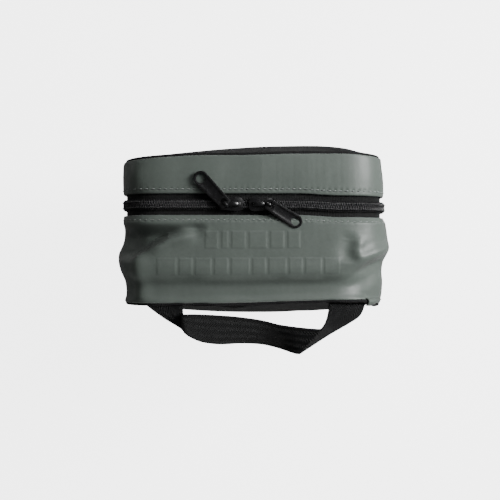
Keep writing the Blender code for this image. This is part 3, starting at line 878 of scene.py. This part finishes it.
def coil_side(side):
    """One half of the coil: bent teeth, the thread sewn over them and the ridge of tape at their back."""
    way = -1 if side == "case" else 1
    offset = 0 if side == "case" else COIL_PITCH / 2
    count = int(2 * COIL_ARC / COIL_PITCH) - 1
    s = -COIL_ARC + offset + COIL_PITCH * (np.arange(count) + 0.5)
    y = CHAIN_Y + zip_drift(s)
    back, head = COIL_HALF - 0.75 * MM, -0.55 * MM
    low = -COIL_TALL + 2 * COIL_WIRE
    # From the back over the top to the head, and back underneath, leaning half a pitch
    loop = [(-0.3, back, low * 0.5), (-0.25, back - 0.2 * MM, -0.25 * MM), (-0.12, back - 1.0 * MM, 0),
            (0.0, 0.5 * MM, 0), (0.05, head, -0.3 * MM), (0.1, head - 0.15 * MM, low * 0.5),
            (0.12, head, low + 0.25 * MM), (0.2, 0.8 * MM, low), (0.5, back - 0.4 * MM, low),
            (0.65, back, low * 0.6)]
    line = [(a * COIL_PITCH, way * b, c) for a, b, c in loop]
    places = frames_on_wall(s, y, COIL_TOP - COIL_WIRE + 1.4 * side_out(s))
    teeth = copies_mesh(side + "_coil", tube_shape(line, COIL_WIRE, 7), places)
    faces_out(teeth)
    dress(teeth, NYLON, side)
    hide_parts(side + "_zip_coil")
    # A twisted thread holds the teeth, with one stitch over each of them
    t = np.linspace(-1, 1, 6)
    stitch = stacked(t * COIL_PITCH * 0.46, 0 * t, -0.5 * MM * np.abs(t) ** 2.2)
    places = frames_on_wall(s, y + way * 1.9 * MM, COIL_TOP + 0.12 * MM + 1.4 * side_out(s))
    sewn = copies_mesh(side + "_coil_thread", tube_shape(stitch, 0.3 * MM, 6), places)
    dress(sewn, BLACK_THREAD, side)
    # The fold of tape behind the teeth
    s_line = spread([-COIL_ARC, COIL_ARC], [2 * MM])
    turns = np.linspace(0, 2 * math.pi, 8, endpoint=False)
    s_grid, turn = grid(s_line, turns)
    y_ridge = CHAIN_Y + zip_drift(s_grid) + way * (COIL_HALF - 0.35 * MM + 0.42 * MM * np.cos(turn))
    depth = TAPE_INSET - 0.9 * MM - 0.95 * MM * np.sin(turn) - 1.3 * side_out(s_grid)
    uv = stacked(s_grid, turn * 0.4 * MM)
    ridge = grid_mesh(side + "_coil_ridge", place(s_grid, y_ridge, depth), False, True, uv=uv)
    faces_out(ridge, (len(s_line), len(turns)))
    dress(ridge, TAPE_CLOTH, side)


coil_side("case")
coil_side("lid")


# ---------------------------------------------------------------- patches of webbing and cloth on the walls
def patch(name, s_span, y_span, height, thickness, folds, replaced):
    """A small rectangle of webbing lying on the wall, or under it where its height is negative."""
    s = spread(sorted(s_span), [1.2 * MM])
    y = spread(y_span, [1.2 * MM])
    s_grid, y_grid = grid(s, y)
    edge = np.minimum.reduce([s_grid - s[0], s[-1] - s_grid, y_grid - y[0], y[-1] - y_grid])
    crown = thickness * (0.55 + 0.45 * smooth(edge / (1.2 * MM)))
    base = height + folds(s_grid, y_grid)
    top, bottom = place(s_grid, y_grid, -(base + crown)), place(s_grid, y_grid, -base)
    made = closed_sheet(name, top, bottom, stacked(y_grid, s_grid))
    dress(made, WEBBING_CLOTH, "case")
    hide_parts(replaced)


def closed_sheet(name, top, bottom, uv):
    """A closed thin solid between two grids of points of the same shape."""
    rows, columns = top.shape[:2]
    under = list(range(rows - 1, -1, -1))
    around = np.concatenate([top, bottom[under]], axis=0)
    around_uv = np.concatenate([uv, uv[under]], axis=0)
    made = grid_mesh(name, around, wrap_rows=True, uv=around_uv)
    bm = bmesh.new()
    bm.from_mesh(made.data)
    bm.verts.ensure_lookup_table()
    weave = bm.loops.layers.uv["weave"]
    for column in (0, columns - 1):
        for i in range(rows - 1):
            ring = [i, i + 1, 2 * rows - 2 - i, 2 * rows - 1 - i]
            face = bm.faces.new([bm.verts[k * columns + column] for k in ring])
            face.smooth = True
            for loop, k in zip(face.loops, ring):
                loop[weave].uv = tuple(around_uv[k, column])
    bmesh.ops.recalc_face_normals(bm, faces=bm.faces)
    bm.to_mesh(made.data)
    bm.free()
    return made


# Height of the sewn tails, which lie inside the wall, and thickness of the webbing
UNDER_WALL = -(WALL + 0.5 * MM)
WEBBING = 1.5 * MM
for side, sign in (("left", -1), ("right", 1)):
    tail_low, tail_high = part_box("handle_tail_" + side)
    patch("handle_tail_sewn_" + side, (s_at(tail_low.x), s_at(tail_high.x)), (tail_low.y, tail_high.y),
          UNDER_WALL - WEBBING, WEBBING, case_folds, "handle_tail_" + side)
    tab_low, tab_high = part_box("zip_end_tab_" + side)
    ends = [sign * (FOOT_START + min(FOOT_RADIUS - z, 0.1 * MM)) for z in (tab_low.z, tab_high.z)]
    patch("zip_tab_" + side, ends, (tab_low.y, tab_high.y),
          0.25 * MM, 0.9 * MM, lambda s, y: 0 * s, "zip_end_tab_" + side)


FLAP_X = (75.5 * MM, 84.5 * MM)
FLAP_THICK = 0.9 * MM


def corner_flap():
    """The loose end of the wall's cloth that curls out over the seam at the right end of the case's top."""
    s = spread([s_at(x) for x in FLAP_X], [0.7 * MM])
    t = np.linspace(0, 1, 12)
    s_grid, t_grid = grid(s, t)
    tip = 1 - 0.45 * smooth((s_grid - s[0] - 6 * MM) / (6 * MM))
    y = CASE_SEAM_Y + 1.6 * MM - 5.4 * MM * t_grid * tip
    height = (0.25 + 1.5 * np.sin(math.pi * t_grid) - 1.4 * t_grid**2) * MM
    base = height + case_folds(s_grid, np.maximum(y, CASE_SEAM_Y))
    top = place(s_grid, y, -(base + FLAP_THICK))
    made = closed_sheet("corner_flap", top, place(s_grid, y, -base), stacked(s_grid, y))
    dress(made, FABRIC, "case")


corner_flap()


# ---------------------------------------------------------------- cast metal: sliders, bails and pulls
def prism(name, outline_xy, low, high):
    """A closed block: a flat outline, anticlockwise, between two heights."""
    count = len(outline_xy)
    points = [(x, y, z) for z in (low, high) for x, y in outline_xy]
    faces = [list(range(count))[::-1], [count + i for i in range(count)]]
    faces += [[i, (i + 1) % count, count + (i + 1) % count, count + i] for i in range(count)]
    return mesh_object(name, points, faces, smooth=False)


def combine(thing, others, operation, edge):
    """Boolean the others into or out of thing, round its edges, and leave one plain mesh."""
    for other in others:
        step = thing.modifiers.new(other.name, "BOOLEAN")
        step.object, step.operation, step.solver = other, operation, "EXACT"
    rounding = thing.modifiers.new("Rounded", "BEVEL")
    rounding.width, rounding.segments, rounding.limit_method = edge, 3, "ANGLE"
    rounding.angle_limit = math.radians(35)
    rounding.loop_slide = False
    bpy.context.view_layer.update()
    evaluated = thing.evaluated_get(bpy.context.evaluated_depsgraph_get())
    mesh = bpy.data.meshes.new_from_object(evaluated)
    thing.modifiers.clear()
    thing.data = mesh
    for other in others:
        bpy.data.objects.remove(other)
    mesh.shade_smooth()
    mesh.set_sharp_from_angle(angle=math.radians(40))


def arc_points(x, y, radius, first, last, steps):
    """Points along an arc, angles in degrees."""
    angles = np.radians(np.linspace(first, last, steps))
    return [(x + radius * math.cos(a), y + radius * math.sin(a)) for a in angles]


# Outline of a slider's plate from tail to nose: shares of its half length and of its half width
PLATE_OUTLINE = [(-1, 0.62), (-0.92, 0.8), (-0.45, 0.84), (0.1, 0.92), (0.5, 1.0), (0.86, 0.86), (1, 0.5)]


def make_slider(side, nose):
    """A coil slider: top and sole plates joined by a post, lips at its sides, and a low bridge for the bail.

    nose is +1 where the end with the post is to the right.
    """
    low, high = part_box("slider_" + side)
    middle_x, half_x, half_y = (low.x + high.x) / 2, (high.x - low.x) / 2, (high.y - low.y) / 2
    plate = 1.2 * MM
    upper = [(middle_x + nose * half_x * a, CHAIN_Y + half_y * b) for a, b in PLATE_OUTLINE]
    shape = upper + [(x, 2 * CHAIN_Y - y) for x, y in reversed(upper)]
    if nose > 0:
        shape.reverse()
    body = prism("slider_body_" + side, shape, high.z - plate, high.z)
    sole = prism("sole", [(x, CHAIN_Y + (y - CHAIN_Y) * 0.96) for x, y in shape], low.z, low.z + plate)
    post = arc_points(middle_x + nose * half_x * 0.72, CHAIN_Y, 1.0 * MM, 0, 330, 12)
    parts = [sole, prism("post", post, low.z + plate / 2, high.z - plate / 2)]
    for way in (-1, 1):
        bar = [(middle_x - nose * half_x * 0.8, CHAIN_Y + way * half_y * 0.8),
               (middle_x + nose * half_x * 0.45, CHAIN_Y + way * half_y * 0.96)]
        loop = bar + [(x, y - way * 0.75 * MM) for x, y in reversed(bar)]
        if way * nose > 0:
            loop.reverse()
        parts.append(prism("lip", loop, high.z - plate - 1.1 * MM, high.z - plate / 2))
    combine(body, parts, "UNION", 0.28 * MM)
    # The crown: a bridge from nose to tail that the bail passes under
    t = np.linspace(-1, 1, 25)
    bridge_rise = 2.5 * MM * (1 - np.abs(t) ** 3.2)
    line = [(middle_x + nose * (0.1 * half_x + a * half_x * 0.62), CHAIN_Y, high.z - 0.2 * MM + b)
            for a, b in zip(t, bridge_rise)]
    crown = tube_mesh("slider_crown_" + side, line, (1.35 * MM, 0.52 * MM))
    dress(crown, ENAMEL, "slider_" + side)
    dress(body, ENAMEL, "slider_" + side)
    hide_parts("slider_" + side)


def tube_mesh(name, line, radii, sides=16):
    """A bar along a line in an upright plane: radii are its half width sideways and its half thickness."""
    line = np.asarray(line, float)
    chord = line[-1] - line[0]
    flat = np.array([chord[1], -chord[0], 0]) / math.hypot(chord[0], chord[1])
    up = np.cross(unit(np.gradient(line, axis=0)), flat)
    turns = np.linspace(0, 2 * math.pi, sides, endpoint=False)
    # A power under 1 makes the oval section squarer
    wide, tall = [np.sign(wave) * np.abs(wave) ** 0.7 for wave in (np.cos(turns), np.sin(turns))]
    sideways, upwards = wide[None, :, None] * flat * radii[0], tall[None, :, None] * up[:, None] * radii[1]
    made = grid_mesh(name, line[:, None] + sideways + upwards, False, True)
    faces_out(made, (len(line), sides))
    return made


# Each pull's direction in degrees, then its reach, half widths at both ends and hole radius in mm
PULLS = {"left": (134, 28.7, 3.85, 4.9, 3.3), "right": (-32.5, 25.8, 3.7, 4.5, 2.9)}
BAIL_WIRE = 0.55 * MM
BAIL_RADIUS = 2.05 * MM
PULL_TILT = math.radians(3)


def make_bail(side):
    """A wire hoop over the slider's plate, in the plane of its pull; returns the pull's pivot."""
    low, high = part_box("bail_" + side)
    pivot = Vector(((low.x + high.x) / 2, (low.y + high.y) / 2, high.z - BAIL_RADIUS - BAIL_WIRE))
    turn = math.radians(PULLS[side][0])
    foot = low.z + BAIL_WIRE / 2 - pivot.z
    turns = np.linspace(0, math.pi, 22)
    hoop = [(1, foot), *[(math.cos(a), BAIL_RADIUS * math.sin(a)) for a in turns], (-1, foot)]
    line = [pivot + Vector((math.cos(turn) * BAIL_RADIUS * out, math.sin(turn) * BAIL_RADIUS * out, up))
            for out, up in hoop]
    hoop = tube_mesh("bail_wire_" + side, [tuple(p) for p in line], (0.75 * MM, BAIL_WIRE), 12)
    dress(hoop, ENAMEL, "slider_" + side)
    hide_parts("bail_" + side)
    return pivot


def make_pull(side, pivot):
    """A cast pull: a rim round a sunken panel on both faces, a hole at its end and an eye for the bail."""
    turn = math.radians(PULLS[side][0])
    reach, base, end, hole = [size * MM for size in PULLS[side][1:]]
    far = reach - end
    half = 0.95 * MM
    outline = [(-1.2 * MM, -base + 1.1 * MM), (-0.4 * MM, -base)]
    outline += arc_points(far, 0, end, -90, 90, 28) + [(-0.4 * MM, base), (-1.2 * MM, base - 1.1 * MM)]
    pull = prism("pull_cast_" + side, outline, -half, half)
    rim = 1.05 * MM
    sink = 0.5 * MM
    near = 4.9 * MM
    panel = [(near, -(base - rim)), (far - hole * 0.55, -(base + end) / 2 + rim),
             (far - hole * 0.55, (base + end) / 2 - rim), (near, base - rim)]
    ring = arc_points(far, 0, end - rim, 0, 352, 40)
    cuts = []
    for shape, deep in ((panel, sink), (ring, sink * 0.6)):
        cuts.append(prism("upper", shape, half - deep, half + MM))
        cuts.append(prism("lower", shape, -half - MM, -half + deep))
    cuts.append(prism("hole", arc_points(far, 0, hole, 0, 352, 40), -2 * MM, 2 * MM))
    eye = [(0.75 * MM, -(base - 1.5 * MM))] + arc_points(1.9 * MM, 0, base - 1.5 * MM, -70, 70, 12)
    eye += [(0.75 * MM, base - 1.5 * MM)]
    cuts.append(prism("eye", eye, -2 * MM, 2 * MM))
    combine(pull, cuts, "DIFFERENCE", 0.22 * MM)
    turned = Matrix.Rotation(turn, 4, "Z") @ Matrix.Rotation(PULL_TILT, 4, "Y")
    pull.data.transform(Matrix.Translation(pivot) @ turned)
    dress(pull, ENAMEL, "pull_" + side)
    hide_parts("pull_" + side)


for side, nose in (("left", 1), ("right", -1)):
    make_slider(side, nose)
    make_pull(side, make_bail(side))


# ---------------------------------------------------------------- webbing handle
# Outer and inner edge of the strap, station by station, in mm, from the left seam to the right one
HANDLE = [
    ((-74.0, -47.0, 192.0), (-46.8, -47.0, 195.5)),
    ((-73.2, -50.6, 194.6), (-46.7, -50.6, 197.2)),
    ((-69.6, -53.6, 195.8), (-46.6, -53.0, 197.0)),
    ((-58.8, -61.4, 196.2), (-46.6, -55.6, 196.4)),
    ((-48.0, -67.8, 198.0), (-46.8, -57.2, 198.0)),
    ((-44.6, -71.2, 200.0), (-46.6, -57.8, 203.0)),
    ((-41.0, -74.0, 198.5), (-45.0, -57.9, 204.0)),
    ((-33.5, -77.4, 193.5), (-38.0, -58.0, 201.5)),
    ((-22.0, -79.2, 188.5), (-25.0, -58.9, 197.0)),
    ((-8.0, -78.8, 186.0), (-10.0, -60.3, 193.5)),
    ((6.0, -79.3, 187.5), (6.0, -62.6, 193.0)),
    ((17.0, -81.2, 193.0), (18.0, -65.2, 196.5)),
    ((26.0, -83.6, 200.0), (32.0, -66.6, 202.5)),
    ((30.2, -84.3, 203.0), (44.5, -67.2, 207.0)),
    ((33.5, -82.6, 202.6), (46.6, -66.2, 206.6)),
    ((50.0, -72.6, 198.5), (48.6, -63.0, 202.5)),
    ((65.0, -64.6, 194.2), (50.0, -59.5, 198.0)),
    ((72.4, -59.6, 193.0), (50.8, -56.0, 196.5)),
    ((75.4, -54.0, 191.8), (51.1, -53.0, 196.0)),
    ((76.2, -50.5, 190.5), (51.3, -50.5, 195.5)),
    ((76.6, -47.0, 189.0), (51.4, -47.0, 195.5)),
]
WEBBING_HALF = WEBBING / 2
STRAP_WIDE = 25 * MM


def through(points, steps):
    """A smooth curve through points, steps to each span."""
    points = np.asarray(points, float)
    padded = np.vstack([2 * points[:1] - points[1:2], points, 2 * points[-1:] - points[-2:-1]])
    made = []
    for before, first, second, after in zip(padded, padded[1:], padded[2:], padded[3:]):
        square = 2 * before - 5 * first + 4 * second - after
        cube = 3 * first - before - 3 * second + after
        for t in np.arange(steps) / steps:
            made.append(0.5 * (2 * first + (second - before) * t + square * t**2 + cube * t**3))
    made.append(padded[-2])
    return np.array(made)


def make_handle():
    """The strap as one ribbon between its two edges, bending where it leaves the seam."""
    outer, inner = [through([station[edge] for station in HANDLE], 9) * MM for edge in (0, 1)]
    share = np.linspace(0, 1, 15)
    surface = outer[:, None] * (1 - share[None, :, None]) + inner[:, None] * share[None, :, None]
    # The strap crowns a little across its width
    normal = unit(np.cross(np.gradient(surface, axis=0), np.gradient(surface, axis=1)))
    normal *= np.sign(normal[:, :, 2:3])
    surface = surface + normal * (0.5 * MM * np.sin(math.pi * share))[None, :, None]
    middle = (outer + inner) / 2
    length = np.concatenate([[0], np.cumsum(np.linalg.norm(np.diff(middle, axis=0), axis=1))])
    uv = stacked(*grid(length, share * STRAP_WIDE))
    half = WEBBING_HALF * (0.55 + 0.45 * smooth(np.minimum(share, 1 - share) / 0.05))[None, :, None]
    made = closed_sheet("handle_strap", surface + normal * half, surface - normal * half, uv)
    dress(made, WEBBING_CLOTH)
    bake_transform(made)
    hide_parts("handle_webbing", "handle_anchor_left", "handle_anchor_right")


make_handle()


# ---------------------------------------------------------------- hinge between the two spines
def hinge_half(name, laps_to, ends_at):
    """One half of the folding strip: it laps over a spine inside and fills its half of the gap between them.

    It runs from laps_to to ends_at and is given no body.
    """
    way = 1 if ends_at > laps_to else -1
    edge = (CASE_EDGE_Y if way > 0 else LID_EDGE_Y) + way * 0.3 * MM
    low, lap_low, high = 0.15 * MM, WALL + 0.15 * MM, WALL + 0.85 * MM
    ys = spread([laps_to, edge - way * 0.6 * MM, edge, ends_at], [1.2 * MM, 0.3 * MM, 0.6 * MM])
    half_long = STRAIGHT_FOOT + 3 * MM
    x = spread([-half_long, half_long], [3 * MM])
    x_grid, y_grid = grid(x, ys)
    bottom = np.where(way * (y_grid - edge) < -0.1 * MM, lap_low, low)
    top = high - 0.5 * MM * smooth(way * (y_grid - edge) / (3 * MM))
    made = closed_sheet(name, stacked(x_grid, y_grid, top), stacked(x_grid, y_grid, bottom),
                        stacked(x_grid, y_grid))
    dress(made, FABRIC)
    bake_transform(made)
    return made


MIDDLE_Y = (CASE_EDGE_Y + LID_EDGE_Y) / 2
LAP_OVER = 6.5 * MM
case_half = hinge_half("hinge_cloth_case", CASE_EDGE_Y - LAP_OVER, MIDDLE_Y - 0.03 * MM)
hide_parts("hinge_strip")
hinge_half("hinge_cloth_lid", LID_EDGE_Y + LAP_OVER, MIDDLE_Y + 0.03 * MM)


# ---------------------------------------------------------------- inside: linings, loops and net pocket
def lining(name, node, way, seed, body):
    """A lining sheet across one half, slightly slack."""
    low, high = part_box(node)
    inset = HALF - high.x
    rows, columns = 60, 56
    t = np.linspace(0, 1, rows)
    z = inset + (HEIGHT - 2 * inset) * (t - 0.6 * np.sin(2 * math.pi * t) / (2 * math.pi))
    z_grid, u_grid = grid(z, np.linspace(-1, 1, columns))
    x_grid = half_width(z_grid, inset) * u_grid
    held = smooth(rim_distance(x_grid, z_grid, inset) / (18 * MM))
    slack = 0.35 * MM * waves(x_grid / MM, z_grid / MM, seed, 50, 3) * held
    face = (high.y if way > 0 else low.y) - way * 0.1 * MM
    y_grid = face + slack
    points = stacked(x_grid, y_grid, z_grid)
    back = points - np.array([0, way * 0.7 * MM, 0])
    made = closed_sheet(name, points, back, stacked(x_grid, z_grid))
    dress(made, LINING_CLOTH, body)
    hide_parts(node)


lining("case_lining_cloth", "case_lining", 1, 11, "case")
lining("lid_lining_cloth", "lid_lining", -1, 12, "lid")


def elastic_loops(name, node):
    """A woven elastic band sewn down between its loops."""
    low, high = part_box(node)
    count, thickness = 4, 1.1 * MM
    rise = high.y - low.y - 1.2 * MM
    x = spread([low.x, high.x], [0.8 * MM])
    z = spread([low.z, high.z], [1.8 * MM])
    x_grid, z_grid = grid(x, z)
    lift = rise * np.sin(math.pi * (x_grid - low.x) * count / (high.x - low.x)) ** 2
    slack = 1 - 0.05 * np.cos(2 * math.pi * (z_grid - low.z) / (high.z - low.z))
    y_grid = low.y + 0.1 * MM + lift * slack
    face = stacked(x_grid, y_grid, z_grid)
    slope = np.gradient(y_grid, axis=0) / np.gradient(x_grid, axis=0)
    normal = unit(stacked(-slope, np.ones_like(slope), 0 * slope))
    along = np.concatenate([[0], np.cumsum(np.hypot(np.diff(x), np.diff(y_grid[:, 0])))])
    made = closed_sheet(name, face + normal * thickness, face, stacked(*grid(along, z)))
    dress(made, ELASTIC_CLOTH, "case")
    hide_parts(node)
    # Dense bar stitches where the band is sewn to the lining
    line = np.array([[-1.1, 0, -0.35], [-0.5, 0.25, -0.1], [0.5, 0.25, 0.1], [1.1, 0, 0.35]]) * MM
    bars = []
    for seam_x in np.clip(np.linspace(low.x, high.x, count + 1), low.x + 1.4 * MM, high.x - 1.4 * MM):
        for height in np.arange(low.z + 1.5 * MM, high.z - 1 * MM, 0.9 * MM):
            bars.append(Matrix.Translation((seam_x, low.y + thickness + 0.2 * MM, height)))
    tacks = copies_mesh(name + "_tacks", tube_shape(line, 0.22 * MM, 6), bars)
    dress(tacks, BLACK_THREAD, "case")


elastic_loops("elastic_loops_lower", "loops_lower")
elastic_loops("elastic_loops_upper", "loops_upper")


def net_pocket():
    """A pocket of knitted net on the lid's lining, with a gathered elastic hem."""
    low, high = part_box("mesh_pocket")
    hem_low, hem_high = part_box("pocket_elastic")
    rise = high.y - low.y - 1.2 * MM
    cell = 2.4 * MM

    def face_y(x, z):
        """How far the pocket stands off the lining at a point."""
        over = np.clip(1 - (np.abs(x) / high.x) ** 4, 0, 1)
        up = smooth((z - low.z) / (34 * MM))
        wave = 0.7 * MM * np.sin(x / MM * 0.22) * smooth((z - low.z - 30 * MM) / (60 * MM))
        return high.y - 0.4 * MM - (rise * up + wave) * over

    # Yarn joins every other point of this grid, so each mesh of the net is a diamond
    columns, rows = int(2 * high.x / cell) // 2 * 2, int((high.z - low.z) / cell * 1.25) // 2 * 2
    points, number, faces = [], {}, []
    for j in range(rows + 1):
        for i in range(columns + 1):
            if (i + j) % 2 == 0:
                number[i, j] = len(points)
                x = low.x + (high.x - low.x) * i / columns
                z = low.z + (hem_low.z + 1.5 * MM - low.z) * j / rows
                points.append((x, float(face_y(x, z)), z))
    for j in range(rows + 1):
        for i in range(columns + 1):
            ring = [number.get(k) for k in ((i - 1, j), (i, j - 1), (i + 1, j), (i, j + 1))]
            ring = [k for k in ring if k is not None]
            if (i + j) % 2 == 1 and len(ring) >= 3:
                faces.append(ring)
    net = mesh_object("net_pocket", points, faces, smooth=False)
    yarn = net.modifiers.new("Yarn", "WIREFRAME")
    yarn.thickness = 0.55 * MM
    yarn.use_even_offset = False
    dress(net, NET_YARN, "lid")
    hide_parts("mesh_pocket")

    x = spread([hem_low.x, hem_high.x], [1.0 * MM])
    z = spread([hem_low.z, hem_high.z], [1.2 * MM])
    x_grid, z_grid = grid(x, z)
    gather = 0.25 * MM * np.sin(x_grid / MM * 1.9) * hill((z_grid - hem_low.z) / (4 * MM), 1)
    from_middle = (z_grid - (hem_low.z + hem_high.z) / 2) / (5.2 * MM)
    crown = 0.5 * MM * np.sqrt(np.clip(1 - from_middle**2, 0, 1))
    y_front = face_y(x_grid, np.minimum(z_grid, hem_low.z)) - 0.7 * MM - crown + gather
    y_front = np.minimum(y_front, hem_high.y - 1.4 * MM)
    y_back = y_front + 0.9 * MM + crown
    hem = closed_sheet("pocket_hem", stacked(x_grid, y_front, z_grid), stacked(x_grid, y_back, z_grid),
                       stacked(x_grid, z_grid))
    dress(hem, ELASTIC_CLOTH, "lid")
    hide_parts("pocket_elastic")


net_pocket()

for half in ("case", "lid"):
    for node, material in ((half + "_foam_pad", FOAM), (half + "_seam_binding", BINDING_CLOTH)):
        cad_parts[node].data.materials.clear()
        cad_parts[node].data.materials.append(material)


# ---------------------------------------------------------------- floor, light and camera
# How brightly the floor and the backdrop shine: on the pouch, and as the camera sees them
FLOOR_GLOW = (0.05, 4.2)
BACKDROP_GLOW = (0.06, 5.0)


def stage_material():
    """Pale matt floor that glows near white when it is seen, but lights the pouch little."""
    made, tree, shader = new_material("pale_floor", (0.86, 0.86, 0.86), 0.9)
    shader.inputs["Emission Color"].default_value = (1, 1, 1, 1)
    seen = add(tree, "ShaderNodeLightPath").outputs["Is Camera Ray"]
    tree.links.new(between(tree, seen, *FLOOR_GLOW), shader.inputs["Emission Strength"])
    tint(tree, shader, seen, (0.0, 1.0), (1, 1, 1), (0.3, 0.86))
    return made


FLOOR_Z = -0.055
pale = stage_material()
floor = grid_mesh("floor", np.array([[[x, y, FLOOR_Z] for x in (-4, 4)] for y in (-4, 4)], float))
floor.data.materials.append(pale)
# A low block lifts the case, so that the lid can fold down level without meeting the floor
RISER_X, RISER_Y, RISER_TOP = 0.066, (CASE_SEAM_Y + 4 * MM, 5 * MM), -0.3 * MM
riser_yz = [(RISER_Y[0], FLOOR_Z), (RISER_Y[0], RISER_TOP), (RISER_Y[1], RISER_TOP), (RISER_Y[1], FLOOR_Z)]
riser_rows = [[(x, y, z) for y, z in riser_yz] for x in (-RISER_X, RISER_X)]
riser = grid_mesh("riser", np.array(riser_rows, float), wrap_cols=True)
faces_out(riser, (2, 4))
riser.data.shade_flat()
riser.data.materials.append(pale)

# Name, place, height aimed at, size and power; the low ones reach the upright faces and leave the top alone
LIGHTS = [
    ("key", (0.46, 0.16, 0.47), 0.17, 0.22, 4.5),
    ("top", (0.65, 0.5, 1.25), 0.17, 0.8, 4.8),
    ("fill", (-0.9, -1.0, 0.9), 0.17, 1.4, 0.5),
    ("back", (0.1, 1.5, 0.6), 0.17, 1.2, 1.2),
    ("front_low", (0.1, -1.5, 0.04), 0.09, 0.2, 9.0),
    ("back_low", (0.3, 1.5, 0.04), 0.09, 0.2, 4.0),
    ("left_low", (-1.5, 0.5, 0.04), 0.09, 0.2, 0.7),
]
for name, stand, aim, size, power in LIGHTS:
    data = bpy.data.lights.new(name, "AREA")
    data.energy, data.size = power, size
    light = bpy.data.objects.new(name, data)
    light.location = stand
    light.rotation_euler = (Vector((0, 0, aim)) - Vector(stand)).to_track_quat("-Z", "Y").to_euler()
    bpy.context.scene.collection.objects.link(light)

world = bpy.data.worlds.new("studio")
bpy.context.scene.world = world
world.use_nodes = True
backdrop = world.node_tree.nodes["Background"]
backdrop.inputs["Color"].default_value = (1, 1, 1, 1)
looked_at = add(world.node_tree, "ShaderNodeLightPath").outputs["Is Camera Ray"]
world.node_tree.links.new(between(world.node_tree, looked_at, *BACKDROP_GLOW), backdrop.inputs["Strength"])

# The camera looks straight down on the zip side from this far above it
CAMERA_X, CAMERA_Y, CAMERA_OVER_TOP = -1.67 * MM, -15.17 * MM, 0.6
camera_data = bpy.data.cameras.new("camera")
camera_data.sensor_width = 36
camera_data.lens = 64.8
camera = bpy.data.objects.new("camera", camera_data)
camera.location = (CAMERA_X, CAMERA_Y, HEIGHT + CAMERA_OVER_TOP)
bpy.context.scene.collection.objects.link(camera)
bpy.context.scene.camera = camera
